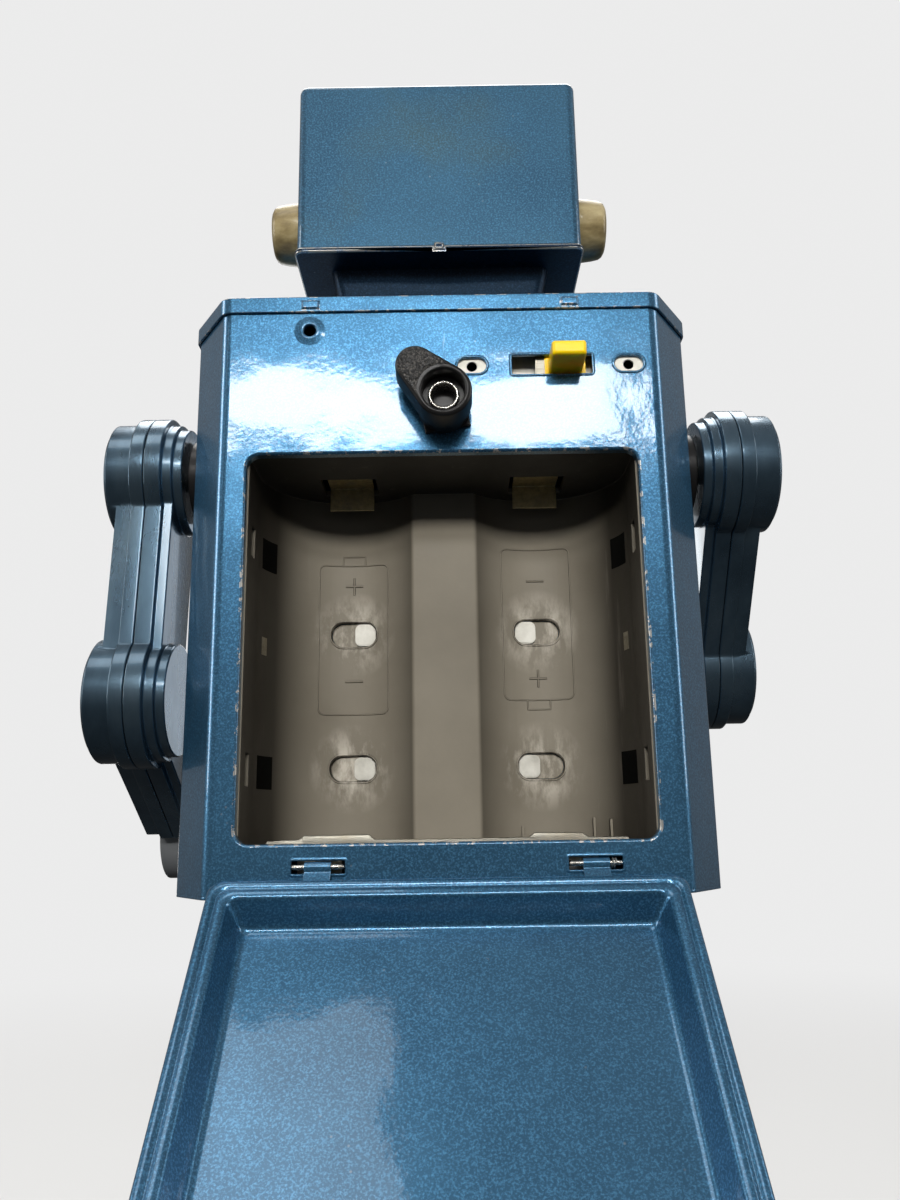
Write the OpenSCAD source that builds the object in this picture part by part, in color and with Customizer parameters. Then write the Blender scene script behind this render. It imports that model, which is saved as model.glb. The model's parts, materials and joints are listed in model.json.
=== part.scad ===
// Tin walking robot with a battery box in its back. Millimetres, +Z up.
// The robot faces -Y, its back is +Y, and its left side is +X.
// The origin is on the floor between the soles.

/* [Torso] */
// Width of the torso
torso_w = 101; // [98:0.5:104]
// Depth of the torso, front to back
torso_d = 62; // [60:0.5:66]
// Height of the torso, cap included
torso_h = 114.8; // [112:0.2:118]
// Sheet metal thickness
tin = 0.6; // [0.5:0.1:0.8]
// Width of a corner chamfer across the back
chamfer_w = 8; // [6:0.5:9]
// Depth of a corner chamfer along the side
chamfer_d = 12.5; // [10:0.5:13]

/* [Battery box] */
// Width of the opening in the back
opening_w = 74.8; // [74.4:0.1:75.2]
// Height of the opening
opening_h = 72.5; // [71:0.1:73]
// Height of the lower edge of the opening above the torso floor
opening_z = 9.3; // [9:0.1:10]
// Radius of a cell cradle
cradle_r = 17.6; // [17.3:0.1:17.7]
// Distance between the two cells
cell_pitch = 39; // [38.6:0.1:39.2]
// Inside length of the box
cell_len = 73; // [72:0.1:73]
// Depth of the cradles behind the back plate
box_depth = 30; // [29:0.1:30]
// Depth of the flat rib between the cradles
rib_depth = 24; // [22:0.1:25]

/* [Battery door] */
// Width of the door
door_w = 82; // [80:0.1:83]
// Length of the door from its hinge to its free edge
door_len = 79.2; // [76:0.1:79.4]
// How far the middle of the door bulges out
door_bulge = 6.3; // [5:0.1:7]
// Angle at which the open door rests on its stop
door_open = 135; // [100:1:140]

/* [Lever and switch] */
// Height of the lever's pivot above the torso floor
lever_z = 90.5; // [90.5:0.1:92]
// How far the lever stands out from the back
lever_out = 9.5; // [9:0.1:11]
// Turn of the lever's tip from straight up, towards the robot's left
lever_turn = 45; // [30:1:60]
// Height of the switch slot above the torso floor
switch_z = 99.7; // [99:0.1:101]
// How far the knob stands out from the back
knob_out = 7.3; // [5:0.1:9]

/* [Head] */
// Width of the head
head_w = 59; // [56:0.5:62]
// Depth of the head
head_d = 46; // [42:0.5:50]
// Height of the head
head_h = 41; // [36:0.5:44]
// Gap between the torso and the head
neck_h = 12.5; // [10:0.5:16]
// Distance from the torso's back to the head's back
head_inset = 4; // [2:0.5:8]

/* [Arms] */
// Diameter of the shoulder and elbow discs
disc_d = 28; // [26:0.5:29]
// Distance from the shoulder to the elbow
upper_arm = 49; // [46:0.5:52]
// Length of the forearm from the elbow
forearm = 38; // [34:0.5:42]
// Forward bend at the elbow
elbow_bend = 62; // [45:1:75]
// Height of the shoulder above the torso floor
shoulder_z = 87.1; // [86:0.1:90]
// Backward swing of the left arm
left_swing = 5; // [0:1:9]
// Forward swing of the right arm
right_swing = 37; // [30:1:41]

/* [Legs] */
// Height of the torso floor above the ground
leg_h = 120; // [115:1:130]
// Width of a leg
leg_w = 38; // [34:0.5:39]
// Depth of a leg, front to back
leg_d = 42; // [38:0.5:46]
// Length of a shoe
shoe_l = 72; // [66:1:78]
// Height of a shoe
shoe_h = 24; // [22:0.5:28]
// Distance of each leg from the middle
leg_x = 23; // [22.5:0.5:24]
// How far each leg stands from mid-stride
stride = 6.7; // [0:0.1:7]

/* [Hidden] */
$fn = 48;

back_y = torso_d / 2;
inner_y = back_y - tin;
side_x = torso_w / 2;
top_z = leg_h + torso_h;
cap_skirt = 3.4;
corner_r = 2.6;
opening_flange = 2;
opening_mid = leg_h + opening_z + opening_h / 2;

// Battery box
cell_x = cell_pitch / 2;
cell_y = back_y - box_depth + cradle_r;
box_wall = 1.3;
box_floor = leg_h + 8.8;
box_top = box_floor + cell_len;
box_back = back_y - opening_flange;
tab_w = 9.4;
tab_y = 6.6;
tab_drop = 3.6;
window_zs = [leg_h + 24, leg_h + 52.3];

// Door hinge
hinge_y = back_y + 0.2;
hinge_z = leg_h + 5.3;
hinge_xs = [22.6, -25.8];
hinge_tab_w = 4.6;
wire_r = 0.45;
barrel_r = 0.95;
slot_half = 4.7;
slot_h = 2.2;
door_gap = 2.6;
door_side_rim = 3.3;
door_top_rim = 6;
door_slope = 2.3;

// Lever, eyelet and switch
lever_x = -0.5;
eyelet_r = 2.7;
lever_big_r = 5.3;
lever_small_r = 3.7;
lever_len = 7.4;
slot_x = -21.75;
slot_w = 15.6;
knob_x = -24.4;
knob_w = 6.6;
mount_xs = [-6.1, -36.8];

// Head
head_z = top_z + neck_h;
head_y = back_y - head_inset - head_d / 2;
ear_y = head_y + 7;
ear_z = head_z + 14.5;

// Arms, measured outwards from the middle of the robot
arm_in = 55;
arm_seam = 62.5;
arm_face = 68.8;
arm_out = 71.4;
shoulder_y = 1;
arm_z = leg_h + shoulder_z;
axle_r = 2;
fit = 0.05;

// Legs
rail_r = 1.5;
rail_z = leg_h + 4.2;
bracket_w = 10;
bracket_l = 12;
leg_gap = 0.7;
roller_r = 6;
roller_pin_r = 1.25;
roller_ys = [-22, 22];

// Gear train: module, tooth counts and shaft places, all about axes along X
gear_m = 0.6;
small_teeth = 10;
big_teeth = 40;
gear_step = gear_m * (small_teeth + big_teeth) / 2;
gear_y = -15;
motor_z = leg_h + 25;
idler_z = motor_z + gear_step;
crank_z = idler_z + gear_step;
plate_x = 12;
plate_t = 1;
plate_z = leg_h + 14;
plate_h = 62;
pillar_zs = [plate_z + 3, plate_z + plate_h - 4];

tin_blue = [0.10, 0.29, 0.46];
arm_blue = [0.08, 0.20, 0.33];
box_grey = [0.22, 0.21, 0.19];
nickel = [0.78, 0.77, 0.74];

// ---- Outlines -------------------------------------------------------------------------------

// Outward normal of the edge from a to b on an anticlockwise outline
function edge_normal(a, b) = [b[1] - a[1], a[0] - b[0]] / norm(b - a);

function corner_normals(pts, i) = let (n = len(pts))
    [edge_normal(pts[(i + n - 1) % n], pts[i]), edge_normal(pts[i], pts[(i + 1) % n])];

// Corner i of an outline, moved inwards by t
function corner_in(pts, i, t) = let (n = corner_normals(pts, i))
    pts[i] - t * (n[0] + n[1]) / (1 + n[0] * n[1]);

function inset(pts, t) = [for (i = [0:len(pts) - 1]) corner_in(pts, i, t)];

// The outline with each corner turned into an arc of radius r
function rounded(pts, r, steps = 6) = [
    for (i = [0:len(pts) - 1])
        let (n = corner_normals(pts, i), c = corner_in(pts, i, r))
        let (start = atan2(n[0][1], n[0][0]), turn = acos(min(1, n[0] * n[1])))
        for (k = [0:steps]) c + r * [cos(start + turn * k / steps), sin(start + turn * k / steps)]];

function box_outline(w, h) = [[-w / 2, -h / 2], [w / 2, -h / 2], [w / 2, h / 2], [-w / 2, h / 2]];

function half_outline(s) = [[s * side_x, -s * (back_y - chamfer_d)],
    [s * side_x, s * (back_y - chamfer_d)], [s * (side_x - chamfer_w), s * back_y]];

torso_outline = concat(
    [[side_x - chamfer_w, -back_y]], half_outline(1),
    [[chamfer_w - side_x, back_y]], half_outline(-1));

// A slab with rounded corners, w by h, from z = 0 up to t
module rslab(w, h, r, t) {
    linear_extrude(t) polygon(rounded(box_outline(w, h), r));
}

// Children drawn in the XZ plane, from y0 to y0 + t
module xz(y0, t) {
    translate([0, y0 + t, 0]) rotate([90, 0, 0]) linear_extrude(t) children();
}

// Children drawn in the YZ plane, from x0 to x0 + t
module yz(x0, t) {
    translate([x0, 0, 0]) rotate([90, 0, 90]) linear_extrude(t) children();
}

// A round bar along X or Y, centred on p
module bar_x(p, r, l) {
    translate(p) rotate([0, 90, 0]) cylinder(r = r, h = l, center = true);
}

module bar_y(p, r, l) {
    translate(p) rotate([90, 0, 0]) cylinder(r = r, h = l, center = true);
}

// A slot with round ends, w long along X and h high, cut through from y0 to y0 + t
module pill(x, z, w, h, y0, t) {
    translate([x - (w - h) / 2, y0, z - h / 2]) cube([w - h, t, h]);
    for (s = [-1, 1]) bar_y([x + s * (w - h) / 2, y0 + t / 2, z], h / 2, t);
}

module on_side(s) {
    if (s > 0) children();
    else mirror([1, 0, 0]) children();
}

// ---- Torso ----------------------------------------------------------------------------------

module body_shell() {
    color(tin_blue) difference() {
        union() {
            translate([0, 0, leg_h + tin]) linear_extrude(torso_h - 2 * tin) difference() {
                polygon(rounded(torso_outline, corner_r));
                polygon(rounded(inset(torso_outline, tin), corner_r - tin));
            }
            // Edges of the opening, turned inwards
            translate([0, 0, opening_mid]) xz(back_y - opening_flange, opening_flange)
                polygon(rounded(box_outline(opening_w + 2 * tin, opening_h + 2 * tin), 3));
        }
        translate([0, 0, opening_mid]) xz(back_y - opening_flange - 1, opening_flange + 2)
            polygon(rounded(box_outline(opening_w, opening_h), 2.4));
        // Hinge slots and shoulder holes
        for (x = hinge_xs) translate([x - slot_half, inner_y - 1, hinge_z - slot_h / 2])
            cube([2 * slot_half, tin + 2, slot_h]);
        for (s = [-1, 1]) bar_x([s * side_x, shoulder_y, arm_z], 4, 6);
        // Small hole, eyelet hole, switch slot and its two mounting slots
        bar_y([25.7, back_y, leg_h + 107.6], 1.2, 4);
        bar_y([lever_x, back_y, leg_h + lever_z], eyelet_r, 4);
        translate([slot_x - slot_w / 2, inner_y - 1, leg_h + switch_z - 2]) cube([slot_w, tin + 2, 4]);
        for (x = mount_xs) pill(x, leg_h + switch_z, 5.6, 3.2, inner_y - 1, tin + 2);
    }
}

module top_cap() {
    outer = inset(torso_outline, -tin);
    color(tin_blue) {
        translate([0, 0, top_z - tin]) linear_extrude(tin) polygon(rounded(outer, corner_r + tin));
        translate([0, 0, top_z - cap_skirt]) linear_extrude(cap_skirt - tin) difference() {
            polygon(rounded(outer, corner_r + tin));
            polygon(rounded(torso_outline, corner_r));
        }
        // Bent-over tabs on the rear flange
        for (s = [-1, 1]) translate([s * 25.6, back_y + tin, top_z - 1.9])
            translate([-1.6, 0, -0.8]) cube([3.2, 0.4, 1.6]);
    }
}

module base_plate() {
    color(tin_blue) translate([0, 0, leg_h]) linear_extrude(tin) difference() {
        polygon(rounded(torso_outline, corner_r));
        for (s = [-1, 1]) translate([s * leg_x, 0]) square([bracket_w + 2, bracket_l + 19], center = true);
    }
}

module chest_panel() {
    panel_w = 62;
    panel_h = 60;
    color([0.62, 0.64, 0.66]) difference() {
        translate([0, -back_y - 2, leg_h + 44]) rotate([-90, 0, 0]) rslab(panel_w, panel_h, 4, 2);
        for (k = [0:5]) pill(0, leg_h + 24 + 5 * k, 44, 2, -back_y - 3, 4);
        for (x = [-18, 0, 18]) bar_y([x, -back_y - 1, leg_h + 63], 5, 4);
    }
}

module chest_lamps() {
    color([0.85, 0.3, 0.1]) for (x = [-18, 0, 18]) {
        bar_y([x, -back_y - 1.4, leg_h + 63], 4.9, 2.8);
        intersection() {
            translate([x, -back_y - 0.8, leg_h + 63]) sphere(r = 5.2);
            bar_y([x, -back_y - 4.8, leg_h + 63], 4.9, 4);
        }
    }
}

// Cross-section of the two cradles, grown by g all round
module cradles(g) {
    half = cell_x + cradle_r + g;
    intersection() {
        for (s = [-1, 1]) translate([s * cell_x, cell_y]) circle(r = cradle_r + g);
        translate([-half, -back_y]) square([2 * half, back_y + cell_y]);
    }
    translate([-half, cell_y]) square([2 * half, box_back - cell_y]);
    translate([-cell_x, back_y - rib_depth - g]) square([cell_pitch, rib_depth - back_y + box_back + g]);
}

module battery_box() {
    face_w = opening_w - 0.2;
    color(box_grey) difference() {
        union() {
            translate([0, 0, box_floor - box_wall]) linear_extrude(cell_len + 2 * box_wall) cradles(box_wall);
            // Flat frame that closes the gap above the ceiling
            translate([-face_w / 2 - 1, box_back - box_wall, box_top])
                cube([face_w + 2, box_wall, leg_h + opening_z + opening_h - box_top + 1.5]);
        }
        translate([0, 0, box_floor]) linear_extrude(cell_len) {
            cradles(0);
            translate([-cell_x - cradle_r, box_back - 1]) square([cell_pitch + 2 * cradle_r, 2]);
        }
        // Windows behind each cell, with straight ends towards the sides
        for (s = [-1, 1], z = window_zs)
            pill(s * cell_x, z, 9.6, 5.2, back_y - box_depth - 3, 6);
        // Slots in the ceiling and in the outer walls
        for (s = [-1, 1]) {
            translate([s * cell_x - 5.6, tab_y - 0.2, box_top - 1]) cube([11.2, 9.8, 4]);
            for (z = [leg_h + 22.8, leg_h + 66.8])
                translate([s * (cell_x + cradle_r) - 2, cell_y + 3, z - 3]) cube([4, 3.4, 6]);
        }
        // Notches in the floor by the right cell
        for (x = [-33, -28]) translate([x, cell_y - 2, box_floor - 2]) cube([1.2, 5, 3]);
    }
}

module contact_strip() {
    color(nickel) {
        translate([-34, cell_y - 3, box_floor]) cube([68, 8, 0.4]);
        for (s = [-1, 1]) translate([s * cell_x, cell_y + 1, box_floor + 0.4]) {
            cylinder(r1 = 3.4, r2 = 2.4, h = 0.9, $fn = 32);
            translate([0, 0, 0.9]) cylinder(r = 2.4, h = 0.5);
        }
    }
}

module cell_tabs() {
    // A leaf on the ceiling, bent down through the slot
    color([0.80, 0.68, 0.42]) for (s = [-1, 1]) translate([s * cell_x - tab_w / 2, tab_y, box_top]) {
        translate([0, 0, -tab_drop]) cube([tab_w, 0.5, tab_drop + box_wall]);
        translate([0, 0, box_wall]) cube([tab_w, 12, 0.5]);
    }
}

module window_contacts() {
    color(nickel) for (s = [-1, 1], z = window_zs)
        translate([s * cell_x - 2.4 - s * 2.2, back_y - box_depth - 1.9, z - 2.3]) cube([4.8, 0.6, 4.6]);
}

// ---- Door -----------------------------------------------------------------------------------

module at_hinge(turn) {
    translate([0, hinge_y, hinge_z]) rotate([turn, 0, 0]) children();
}

// One level of the door's bulge: a thin slab at height y, drawn in from the door's edges by side
module bulge_slab(side, y) {
    z0 = door_gap + door_side_rim + side;
    z1 = door_len - door_top_rim - side;
    translate([0, 0, (z0 + z1) / 2]) xz(y, 0.1)
        polygon(rounded(box_outline(door_w - 2 * door_side_rim - 2 * side, z1 - z0), 2, 3));
}

module battery_door() {
    lift = 0.1;
    rim_l = door_len - door_gap;
    mid = (door_gap + door_len) / 2;
    color(tin_blue) at_hinge(-door_open) {
        difference() {
            union() {
                translate([0, 0, mid]) xz(lift, tin) polygon(rounded(box_outline(door_w, rim_l), 2));
                hull() {
                    bulge_slab(0, lift);
                    bulge_slab(door_slope, door_bulge + lift - 0.1);
                }
            }
            hull() {
                bulge_slab(tin, lift - 0.1);
                bulge_slab(door_slope + tin, door_bulge + lift - tin - 0.1);
            }
        }
        // Rolled hem round the rim
        translate([0, 0, mid]) xz(lift + tin, tin) difference() {
            polygon(rounded(box_outline(door_w, rim_l), 2));
            polygon(rounded(box_outline(door_w - 3.2, rim_l - 3.2), 1.2));
        }
        // Hinge tabs, rolled round the wire
        for (x = hinge_xs) difference() {
            union() {
                translate([x - hinge_tab_w / 2, lift, 0]) cube([hinge_tab_w, tin, door_gap + 0.5]);
                bar_x([x, 0, 0], barrel_r, hinge_tab_w);
            }
            bar_x([x, 0, 0], wire_r + fit, hinge_tab_w + 2);
        }
    }
}

module hinge_wires() {
    half = slot_half - wire_r - 0.1;
    tail = inner_y - wire_r;
    color(nickel) for (x = hinge_xs) translate([x, 0, hinge_z]) {
        bar_x([0, hinge_y, 0], wire_r, 2 * half);
        for (e = [-1, 1]) {
            translate([e * half, hinge_y, 0]) sphere(r = wire_r, $fn = 24);
            bar_y([e * half, (hinge_y + tail) / 2, 0], wire_r, hinge_y - tail);
            translate([e * half, tail, 0]) sphere(r = wire_r, $fn = 24);
            bar_x([e * (half + 1.2), tail, 0], wire_r, 2.4);
        }
    }
}

// One turn after another of a coil about X, as a six-sided tube
module coil(r, wire, pitch, turns) {
    steps = 12;
    n = turns * steps;
    sides = 6;
    pts = [for (i = [0:n], k = [0:sides - 1])
        let (a = 360 * i / steps, b = 360 * k / sides, d = r + wire * cos(b))
        [pitch * i / steps + wire * sin(b), d * cos(a), d * sin(a)]];
    faces = concat(
        [[for (k = [0:sides - 1]) k]],
        [for (i = [0:n - 1], k = [0:sides - 1])
            let (a = i * sides, b = (k + 1) % sides) [a + k, a + sides + k, a + sides + b, a + b]],
        [[for (k = [sides - 1:-1:0]) n * sides + k]]);
    polyhedron(pts, faces);
}

module door_spring() {
    color(nickel) translate([hinge_xs[1] - 3.45, hinge_y, hinge_z]) coil(0.76, 0.18, 0.45, 2);
}

// ---- Lever and switch -----------------------------------------------------------------------

// The outline round two circles, the big one at the origin and the small one at x = l
module tear(r1, r2, l, steps = 24) {
    a = acos((r1 - r2) / l);
    polygon(concat(
        [for (k = [0:steps]) let (t = a + (360 - 2 * a) * k / steps) r1 * [cos(t), sin(t)]],
        [for (k = [0:steps]) let (t = 2 * a * k / steps - a) [l, 0] + r2 * [cos(t), sin(t)]]));
}

// Children drawn with y = 0 at the lever's base and +X along the lever
module at_lever() {
    translate([lever_x, back_y, leg_h + lever_z]) rotate([0, lever_turn - 90, 0]) children();
}

module catch_lever() {
    arm_t = 6;
    color([0.06, 0.06, 0.06]) at_lever() difference() {
        union() {
            xz(lever_out - arm_t, arm_t) tear(lever_big_r, lever_small_r, lever_len);
            bar_y([0, lever_out / 2, 0], lever_big_r - 0.3, lever_out - 1.6);
        }
        bar_y([0, lever_out / 2, 0], eyelet_r + fit, lever_out + 2);
        bar_y([0, lever_out - 1, 0], 4.2, 5.2);
        // Shallow recess on the tip, for the grained face
        xz(lever_out - 0.3, 1) intersection() {
            translate([lever_len, 0]) circle(r = lever_small_r - 0.5);
            difference() {
                translate([4, -5]) square([12, 10]);
                circle(r = lever_big_r);
            }
        }
    }
}

module lever_washer() {
    color([0.05, 0.05, 0.05]) translate([lever_x, back_y, leg_h + lever_z]) rotate([0, 10, 0])
        difference() {
            translate([-4.4, 0, -4.4]) cube([8.8, 0.7, 8.8]);
            bar_y([0, 0.4, 0], eyelet_r, 3);
        }
}

module lever_eyelet() {
    color(nickel) translate([lever_x, 0, leg_h + lever_z]) difference() {
        union() {
            bar_y([0, inner_y + 3.7, 0], eyelet_r, 7.4);
            bar_y([0, inner_y - 0.3, 0], 4.2, 0.6);
        }
        bar_y([0, inner_y + 3, 0], 2.25, 14);
    }
}

module switch_knob() {
    color([0.93, 0.78, 0.05]) translate([knob_x, 0, leg_h + switch_z]) {
        translate([-knob_w / 2, inner_y - 1, -1.5]) cube([knob_w, tin + 1 + knob_out, 3]);
        translate([-4, inner_y - 2.6, -3.2]) cube([8, 2.3, 6.4]);
    }
}

module switch_plate() {
    web_x0 = -32.4;
    web_x1 = -11;
    z = leg_h + switch_z;
    color([0.72, 0.70, 0.62]) difference() {
        union() {
            translate([web_x0, inner_y - 4, z - 5]) cube([web_x1 - web_x0, tin, 10]);
            for (x = [web_x0, web_x1 - tin]) translate([x, inner_y - 4, z - 5]) cube([tin, 4, 10]);
            translate([web_x0 - 8, inner_y - tin, z - 5]) cube([8.4, tin, 10]);
            translate([web_x1 - 0.4, inner_y - tin, z - 5]) cube([9, tin, 10]);
        }
        for (x = mount_xs) bar_y([x, inner_y, z], 1, 6);
        bar_y([lever_x, inner_y, leg_h + lever_z], 4.4, 4);
    }
}

// ---- Head -----------------------------------------------------------------------------------

module neck_collar() {
    color([0.03, 0.09, 0.16]) translate([0, head_y, top_z]) difference() {
        hull() {
            rslab(40, 28, 2, 0.1);
            translate([0, 0, neck_h - 0.1]) rslab(46, 33, 2, 0.1);
        }
        hull() {
            translate([0, 0, -0.1]) rslab(40 - 2 * tin, 28 - 2 * tin, 1.4, 0.1);
            translate([0, 0, neck_h]) rslab(46 - 2 * tin, 33 - 2 * tin, 1.4, 0.1);
        }
    }
}

module head_shell() {
    base_h = 1.2;
    color(tin_blue) translate([0, head_y, head_z]) difference() {
        union() {
            translate([0, 0, base_h]) rslab(head_w, head_d, 1.6, head_h - base_h - 1.2);
            translate([0, 0, head_h - 1.2]) rslab(head_w - 0.8, head_d - 0.8, 1.4, 0.6);
            translate([0, 0, head_h - 0.6]) rslab(head_w - 2.4, head_d - 2.4, 1.2, 0.6);
        }
        translate([0, 0, -1]) rslab(head_w - 2 * tin, head_d - 2 * tin, 1, head_h - 1);
        for (s = [-1, 1]) {
            bar_y([s * 14, -head_d / 2, 24], 5.6, 6);
            bar_x([s * head_w / 2, ear_y - head_y, ear_z - head_z], 2.5, 6);
        }
        pill(0, 10, 30, 6, -head_d / 2 - 3, 6);
    }
}

module head_base() {
    color([0.06, 0.16, 0.28]) translate([0, head_y, head_z]) {
        rslab(head_w + 0.8, head_d + 0.8, 1.8, 1.2);
        // Notch bump where the seam closes, at the back
        translate([-1, head_d / 2 + 0.4, 0.1]) cube([2, 0.4, 1.5]);
    }
}

module eye_lenses() {
    color([0.75, 0.85, 0.35]) for (s = [-1, 1]) translate([s * 14, head_y - head_d / 2, head_z + 24]) {
        bar_y([0, 0.2, 0], 5.5, 2.4);
        intersection() {
            translate([0, 1.4, 0]) sphere(r = 5.9);
            bar_y([0, -3, 0], 5.5, 4);
        }
    }
}

module mouth_grille() {
    color(nickel) translate([0, head_y - head_d / 2, head_z + 10]) difference() {
        pill(0, 0, 29.8, 5.8, -0.4, 2);
        for (k = [-3:3]) translate([3.6 * k - 0.6, -2, -1.8]) cube([1.2, 6, 3.6]);
    }
}

module ear(s) {
    color([0.56, 0.51, 0.40]) on_side(s) translate([head_w / 2, ear_y, ear_z]) rotate([0, 90, 0])
        rotate_extrude() {
            polygon([[0, -3], [2.4, -3], [2.4, 0], [7, 0], [6.9, 1.4], [6, 6.4], [5.1, 7.2], [0, 7.4]]);
        }
}

module ear_left() { ear(1); }
module ear_right() { ear(-1); }

// ---- Arms -----------------------------------------------------------------------------------

// Side outline of a bent arm, shoulder at the origin, w wide, with discs of radius r
module arm_outline(r, w, wrist) {
    circle(r = r);
    translate([0, -upper_arm]) circle(r = r);
    translate([-w / 2, -upper_arm]) square([w, upper_arm]);
    translate([0, -upper_arm]) rotate(-elbow_bend)
        polygon([[-w / 2, 0], [-wrist / 2, -forearm], [wrist / 2, -forearm], [w / 2, 0]]);
}

// Places children, drawn outwards along +X from the hanging arm's shoulder, on one side
module at_shoulder(s) {
    swing = s > 0 ? left_swing : -right_swing;
    on_side(s) translate([0, shoulder_y, arm_z]) rotate([swing, 0, 0]) children();
}

module at_wrist() {
    translate([0, 0, -upper_arm]) rotate([-elbow_bend, 0, 0]) translate([0, 0, -forearm]) children();
}

module arm_discs(x, r, t) {
    for (z = [0, -upper_arm]) bar_x([x + t / 2, 0, z], r, t);
}

module arm_outer(s) {
    disc_r = disc_d / 2;
    color(arm_blue) at_shoulder(s) difference() {
        union() {
            yz(arm_seam, 3) arm_outline(disc_r, 20, 17);
            yz(arm_seam + 3, arm_face - arm_seam - 3) arm_outline(disc_r - 1.2, 18, 15);
            arm_discs(arm_face, disc_r - 1.2, arm_out - arm_face - 0.6);
            arm_discs(arm_out - 0.6, disc_r - 2.2, 0.6);
        }
        yz(arm_seam - 1, 5.5) arm_outline(disc_r - 2.6, 14, 11);
    }
}

module arm_inner(s) {
    disc_r = disc_d / 2;
    color(arm_blue) at_shoulder(s) difference() {
        union() {
            yz(arm_seam - 3.6, 3.5) arm_outline(disc_r, 20, 17);
            yz(arm_seam - 5.6, 2) arm_outline(disc_r - 1.4, 18, 15);
            arm_discs(arm_in, disc_r - 2.4, arm_seam - 5.6 - arm_in);
        }
        yz(arm_seam - 3.9, 5) arm_outline(disc_r - 2.6, 14, 11);
        bar_x([arm_seam - 5, 0, 0], axle_r, 10);
    }
}

module hand(s) {
    grip_r = 10.5;
    color([0.55, 0.56, 0.58]) at_shoulder(s) at_wrist() {
        difference() {
            translate([arm_seam, 0, -grip_r - 0.1]) rotate([0, 90, 0]) difference() {
                cylinder(r = grip_r, h = 8, center = true);
                cylinder(r = 6.4, h = 10, center = true);
            }
            // Gap between the fingers
            translate([arm_seam - 6, -4, -3 * grip_r]) cube([12, 8, 2 * grip_r]);
        }
        // Stem held between the two halves of the forearm
        translate([arm_seam - 2.4, -3.6, -2]) cube([4.8, 7.2, 12]);
    }
}

module shoulder_axle(s) {
    color(nickel) at_shoulder(s) {
        bar_x([(38 + arm_seam - 1) / 2, 0, 0], axle_r, arm_seam - 39);
        // Head peened over inside the arm
        bar_x([arm_seam - 3.3, 0, 0], 3.4, 1.2);
    }
}

module shoulder_crank(s) {
    color([0.66, 0.66, 0.64]) at_shoulder(s) difference() {
        union() {
            yz(39, 1.2) rotate(90) tear(4, 2.4, 9);
            bar_x([37.6, 0, 9], 1, 3.4);
        }
        bar_x([39, 0, 0], axle_r, 6);
    }
}

module shoulder_bushes() {
    color([0.07, 0.07, 0.08]) for (s = [-1, 1]) on_side(s) translate([0, shoulder_y, arm_z])
        difference() {
            union() {
                bar_x([48.5, 0, 0], 4, 6);
                bar_x([side_x + 1.9, 0, 0], 9, 3.8);
            }
            bar_x([50, 0, 0], axle_r + fit, 14);
        }
}

module arm_outer_left() { arm_outer(1); }
module arm_inner_left() { arm_inner(1); }
module hand_left() { hand(1); }
module shoulder_axle_left() { shoulder_axle(1); }
module shoulder_crank_left() { shoulder_crank(1); }
module arm_outer_right() { arm_outer(-1); }
module arm_inner_right() { arm_inner(-1); }
module hand_right() { hand(-1); }
module shoulder_axle_right() { shoulder_axle(-1); }
module shoulder_crank_right() { shoulder_crank(-1); }

// ---- Legs -----------------------------------------------------------------------------------

module slide_rails() {
    color(nickel) for (s = [-1, 1]) bar_y([s * leg_x, -1.5, rail_z], rail_r, 55);
}

module rail_blocks() {
    color([0.66, 0.66, 0.64]) for (s = [-1, 1], y = [-27.6, 24.4]) difference() {
        translate([s * leg_x - 4, y - 1.6, leg_h + tin]) cube([8, 3.2, 6.3]);
        bar_y([s * leg_x, y, rail_z], rail_r, 5);
    }
}

// The left leg stands forward and the right leg back
module at_leg(s) {
    translate([s * leg_x, -s * stride, 0]) children();
}

module leg_bracket(s) {
    color([0.66, 0.66, 0.64]) at_leg(s) difference() {
        translate([-bracket_w / 2, -bracket_l / 2, leg_h - leg_gap])
            cube([bracket_w, bracket_l, 7 + leg_gap]);
        bar_y([0, 0, rail_z], rail_r + fit, bracket_l + 2);
    }
}

module leg_shell(s) {
    wall = 0.8;
    tall = leg_h - leg_gap - shoe_h;
    color(tin_blue) at_leg(s) translate([0, 0, shoe_h]) difference() {
        rslab(leg_w, leg_d, 4, tall);
        translate([0, 0, -1]) rslab(leg_w - 2 * wall, leg_d - 2 * wall, 3, tall - wall + 1);
    }
}

// Outline of a shoe with a round toe, grown inwards by g
module shoe_outline(g) {
    w = leg_w + 4 - 2 * g;
    heel = leg_d / 2 + 4 - g;
    toe = shoe_l - leg_d / 2 - 4 - g;
    translate([-w / 2, 8 - toe]) square([w, toe + heel - 8]);
    intersection() {
        translate([0, w / 2 + 2 - toe]) circle(r = w / 2 + 2);
        translate([-w / 2, -toe]) square([w, 12]);
    }
}

module shoe(s) {
    wall = 1.6;
    color(arm_blue) at_leg(s) difference() {
        union() {
            linear_extrude(shoe_h - 7) shoe_outline(0);
            translate([0, 0, shoe_h - 7]) linear_extrude(4) shoe_outline(0.8);
            translate([0, 0, shoe_h - 3]) linear_extrude(3) shoe_outline(1.8);
        }
        translate([0, 0, -1]) linear_extrude(shoe_h - 6) shoe_outline(wall);
        for (y = roller_ys) bar_x([0, y - 6, roller_r], roller_pin_r, leg_w + 8);
    }
}

module sole(s) {
    color([0.30, 0.31, 0.32]) at_leg(s) difference() {
        linear_extrude(1.2) shoe_outline(1.6);
        for (y = roller_ys) translate([-5, y - 14, -1]) cube([10, 16, 4]);
    }
}

module roller_axles(s) {
    color(nickel) at_leg(s) for (y = roller_ys) bar_x([0, y - 6, roller_r], roller_pin_r, leg_w + 4);
}

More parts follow.
